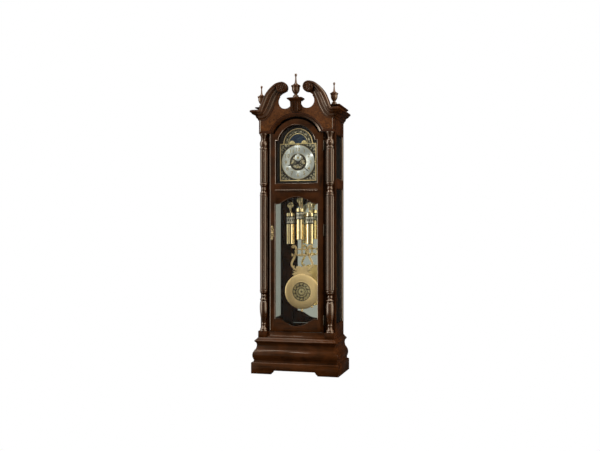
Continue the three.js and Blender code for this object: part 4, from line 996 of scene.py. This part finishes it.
# Radius and height above the weight's top of its shell and yoke, and radius and setback of the pulley's pin, groove,
# hub and rim.
SHELL = [
    (0, -236), (26, -236), (28.2, -235.4), (29.3, -233.5), (29.3, -232.5), (29.3, -88.5), (29.3, -87.5), (28.3, -86.5),
    (28.3, -24.5), (29.3, -23.5), (29.3, -22.5), (29.3, -6), (29.3, -5), (28.6, -1.8), (26.5, 0), (18, 0.4), (7.5, 2),
    (5, 4.5), (4, 8), (4, 18), (0, 20)]
YOKE = [(0, 15.5), (6, 16), (7.3, 18), (7.3, 21), (6, 22), (0, 22)]
PIN = [(0, 160.9), (2.9, 161.2), (3.2, 162), (2, 162.2), (2, 177.8), (3.2, 178), (2.9, 178.8), (0, 179.1)]
GROOVE = [(18.4, 166.4), (18.7, 168.8), (18.7, 171.2), (18.4, 173.6), (17.4, 173.6), (17.4, 166.4), (18.4, 166.4)]
HUB = [(2.4, 165.2), (5.4, 165.2), (5.8, 166), (5.8, 174), (5.4, 174.8), (2.4, 174.8), (2.4, 165.2)]
RIM = [(18, 165.4), (18.4, 164.4), (19.6, 163.9), (21.4, 164), (22.4, 164.8), (22.6, 166), (18, 166)]
CHEEK = both_halves([(5, 20), (6, 30), (4.2, 45), (6.2, 52), (6.5, 57), (4.5, 61.5), (0, 63.3)])


def wrapped(part, x, y, r):
    """Flat tracery wound round an upright cylinder: its x runs round the surface."""
    points, faces, owner = part
    wound = []
    for u, v, z in points:
        reach = r - (v - FRONT)
        wound.append((x + reach * sin(u / r), y - reach * cos(u / r), z))
    return wound, faces, owner


def weight_band(x, y, top):
    """Band of scrolled filigree between two beads, on a darkened ground."""
    low, high = top - 86, top - 25
    middle, pitch = (low + high) / 2, 2 * pi * WEIGHT_R / 6
    lines = []
    for u in ((i - 2.5) * pitch for i in range(6)):
        lines += [scroll(u + sign * 7.4, middle + 16 * way, 8.6, 90 * sign, 1.2 * sign * way, 2.2)
                  for sign in (1, -1) for way in (1, -1)]
        lines += [leaf(u, middle - 9, 18, 0, 0, 3.2), leaf(u + pitch / 2, middle - 6, 12, 0, 0, 2.6)]
    tracery = wrapped(strokes(lines, 0, 0.7, 2), x, y, WEIGHT_R - 0.7)
    ground = lathe([(28.2, low), (28.6, low + 0.5), (28.6, high - 0.5), (28.2, high)], x, y, "z", 56, 1)
    edges = [lathe([(28.4, z - 1.8), (29.3, z - 1.2), (29.5, z), (29.3, z + 1.2), (28.4, z + 1.8)], x, y, "z", 56)
             for z in (low, high)]
    return [tracery, ground, *edges]


def cable_line(x, axle, side, drum):
    """Down from the drum, round under the pulley and up to the clamp, as (x, z)."""
    near = side if x == 0 else -side
    start, end = np.array((drum[0] + side * CABLE_R, drum[1])), np.array((x + near * CABLE_R, axle))
    line = [tuple(start + (end - start) * t) for t in fractions(12)[:-1]]
    line += [(x + near * CABLE_R * cos(pi * t), axle - CABLE_R * sin(pi * t)) for t in fractions(20)]
    return line + [(x - near * CABLE_R, axle + (CLAMP_Z - axle) * t) for t in fractions(10)[1:]]


for train, (x, top, side, drum) in WEIGHTS.items():
    y, axle = FRONT + WEIGHT_Y, top + AXLE_RISE
    shell, yoke = (lathe([(r, top + h) for r, h in profile], x, y, "z", segments)
                   for profile, segments in ((SHELL, 56), (YOKE, 28)))
    outline = [[(x + u, top + v) for u, v in CHEEK], circle(x, top + 37, 2, 16)]
    cheeks = [plate(outline, near, near + 1.5, 0.3) for near in (WEIGHT_Y - 8, WEIGHT_Y + 6.5)]
    place([shell, *weight_band(x, y, top), *cheeks, yoke, lathe(PIN, x, axle, "y", 16)], f"weight_cased_{train}",
          (BRASS, SOOT, CHASED), f"weight_{train}", f"weight_{train}", 35)
    holes = [circle(*spot_at(x, axle, 12.6, 60 * i), 3.7, 18) for i in range(6)]
    outline = [circle(x, axle, 22.5, 56), *holes, circle(x, axle, 2.4, 16)]
    wheel = [plate(outline, near, near + 1.7, 0.3) for near in (165, 173.3)]
    wheel += [lathe(profile, x, axle, "y", segments) for profile, segments in ((GROOVE, 48), (HUB, 28), (RIM, 48))]
    place(wheel, f"pulley_pierced_{train}", BRASS, f"pulley_{train}", f"pulley_{train}", 35)
    cable = place([bead(cable_line(x, axle, side, drum), y, 0.8)], f"cable_laid_{train}", STEEL, None, f"cable_{train}",
                  60)
    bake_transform(cable)

# ---- Pendulum ----
PENDULUM_Y = 228
BOB_Z, BOB_R = 599, 133.5
LYRE_ARM = [(70, 930), (76, 941), (66, 948), (52, 938), (45, 915), (47, 893), (54, 872), (66, 846), (80, 818),
            (80, 796), (66, 778), (50, 762), (44, 750)]
# Right halves of the lyre's foot piece and of its two crossbars.
LOWER_BAR = [(22, 866), (30, 871), (68, 873), (68, 879), (30, 881), (22, 886)]
UPPER_BAR = [(0, 911), (20, 916), (46, 917), (46, 923), (20, 925), (0, 931)]
FOOT_PIECE = [(60, 712), (78, 733), *bezier(((78, 733), (52, 742), (46, 764)), 8), (50, 786),
              *bezier(((50, 786), (22, 800), (0, 786)), 10)]


def ribbon(spots, width):
    """Outline of a band along a curve, widest in its middle."""
    left, right = [], []
    for t in fractions(60):
        here = through(spots, t)
        along = through(spots, min(t + 0.004, 1)) - through(spots, max(t - 0.004, 0))
        along /= np.linalg.norm(along)
        reach = width * (0.32 + 0.18 * sin(pi * t))
        left.append((here[0] - along[1] * reach, here[1] + along[0] * reach))
        right.append((here[0] + along[1] * reach, here[1] - along[0] * reach))
    return left + right[::-1]


def lyre():
    """Two leafed arms, a shaped foot, two crossbars, the rods, the suspension and the rating nut."""
    near, far = PENDULUM_Y - 1, PENDULUM_Y + 1
    parts = []
    arm = ribbon(LYRE_ARM, 17)
    for sign in (1, -1):
        parts.append(plate([[(sign * x, z) for x, z in arm]], near, far, 0.35))
        parts += [plate([circle(sign * x, z, r, 24)], near - 0.1, far + 0.1, 0.4)
                  for x, z, r in ((70, 934, 7.5), (76, 876, 6.5), (62, 792, 5.5))]
        parts += [strokes([leaf(sign * x, z, length, sign * heading, sign * bend, 3.2)], PENDULUM_Y, 1, 0, 2)
                  for x, z, length, heading, bend in ((72, 880, 13, 45, 50), (72, 872, 13, 135, -50),
                                                      (60, 770, 16, 110, 60), (56, 752, 18, 120, -60),
                                                      (50, 905, 14, 80, -70))]
    parts += [plate([both_halves(half)], near, far, 0.4) for half in (FOOT_PIECE, LOWER_BAR, UPPER_BAR)]
    parts += [plate([oblong(-6, 6, low, high)], near - 0.1, far + 0.1, 0.4) for low, high in ((470, 780), (872, 1562))]
    parts.append(plate([oblong(-5, 5, 1560, 1599.3)], PENDULUM_Y - 0.4, PENDULUM_Y + 0.4, 0.1))
    nut = [(0, 450), (6.6, 450.2), (8.3, 452), (8.4, 460), (6.6, 461.8), (2.6, 462), (2.6, 474), (0, 474)]
    return [*parts, lathe(nut, 0, FRONT + PENDULUM_Y, "z", 32)]


def medallion():
    """Pierced roundel of scrolls and leaves about a rosette."""
    outer = [scroll(-5.5, 59, 7.5, 205, 1.2, 2.3), scroll(6.5, 60, 6, 155, -1.2, 2.1), leaf(0.5, 47, 13, 0, -20, 3.2),
             leaf(-7, 48, 8, -40, 30, 2.4)]
    inner = [*scrolls(-6, 36, 6.2, 200, 1.2, 2.1), leaf(0, 12, 17, 0, 0, 3)]
    lines = ring_of(outer, BOB_Z, 12) + ring_of(inner, BOB_Z, 8, 22.5)
    lines += ring_of([leaf(0, 6, 22, 0, 0, 4), leaf(0, 36, 9, 0, 0, 2.6)], BOB_Z, 8)
    return strokes(lines, 213.7, 0.9, 2)


DISH = [(71.5, 214.6), (74, 213.9), (75.5, 214.2), (77, 215.2), (82, 214.9), (95, 216), (110, 218.1), (122, 220.6),
        (129, 222.8), (132.4, 224.6), (BOB_R, 225.9), (131.5, 226.4), (100, 220.5), (70, 218), (0, 217)]
place(lyre(), "lyre_cut", SATIN_BRASS, "pendulum", "pendulum_frame", 35)
place([lathe(DISH, 0, BOB_Z, "y", 128), lathe([(0, 214.5), (71, 214.5), (72.5, 215)], 0, BOB_Z, "y", 96, 1),
       medallion()], "bob_dished", (SATIN_BRASS, TONED, CAST_BRASS), "pendulum", "pendulum_bob", 35)
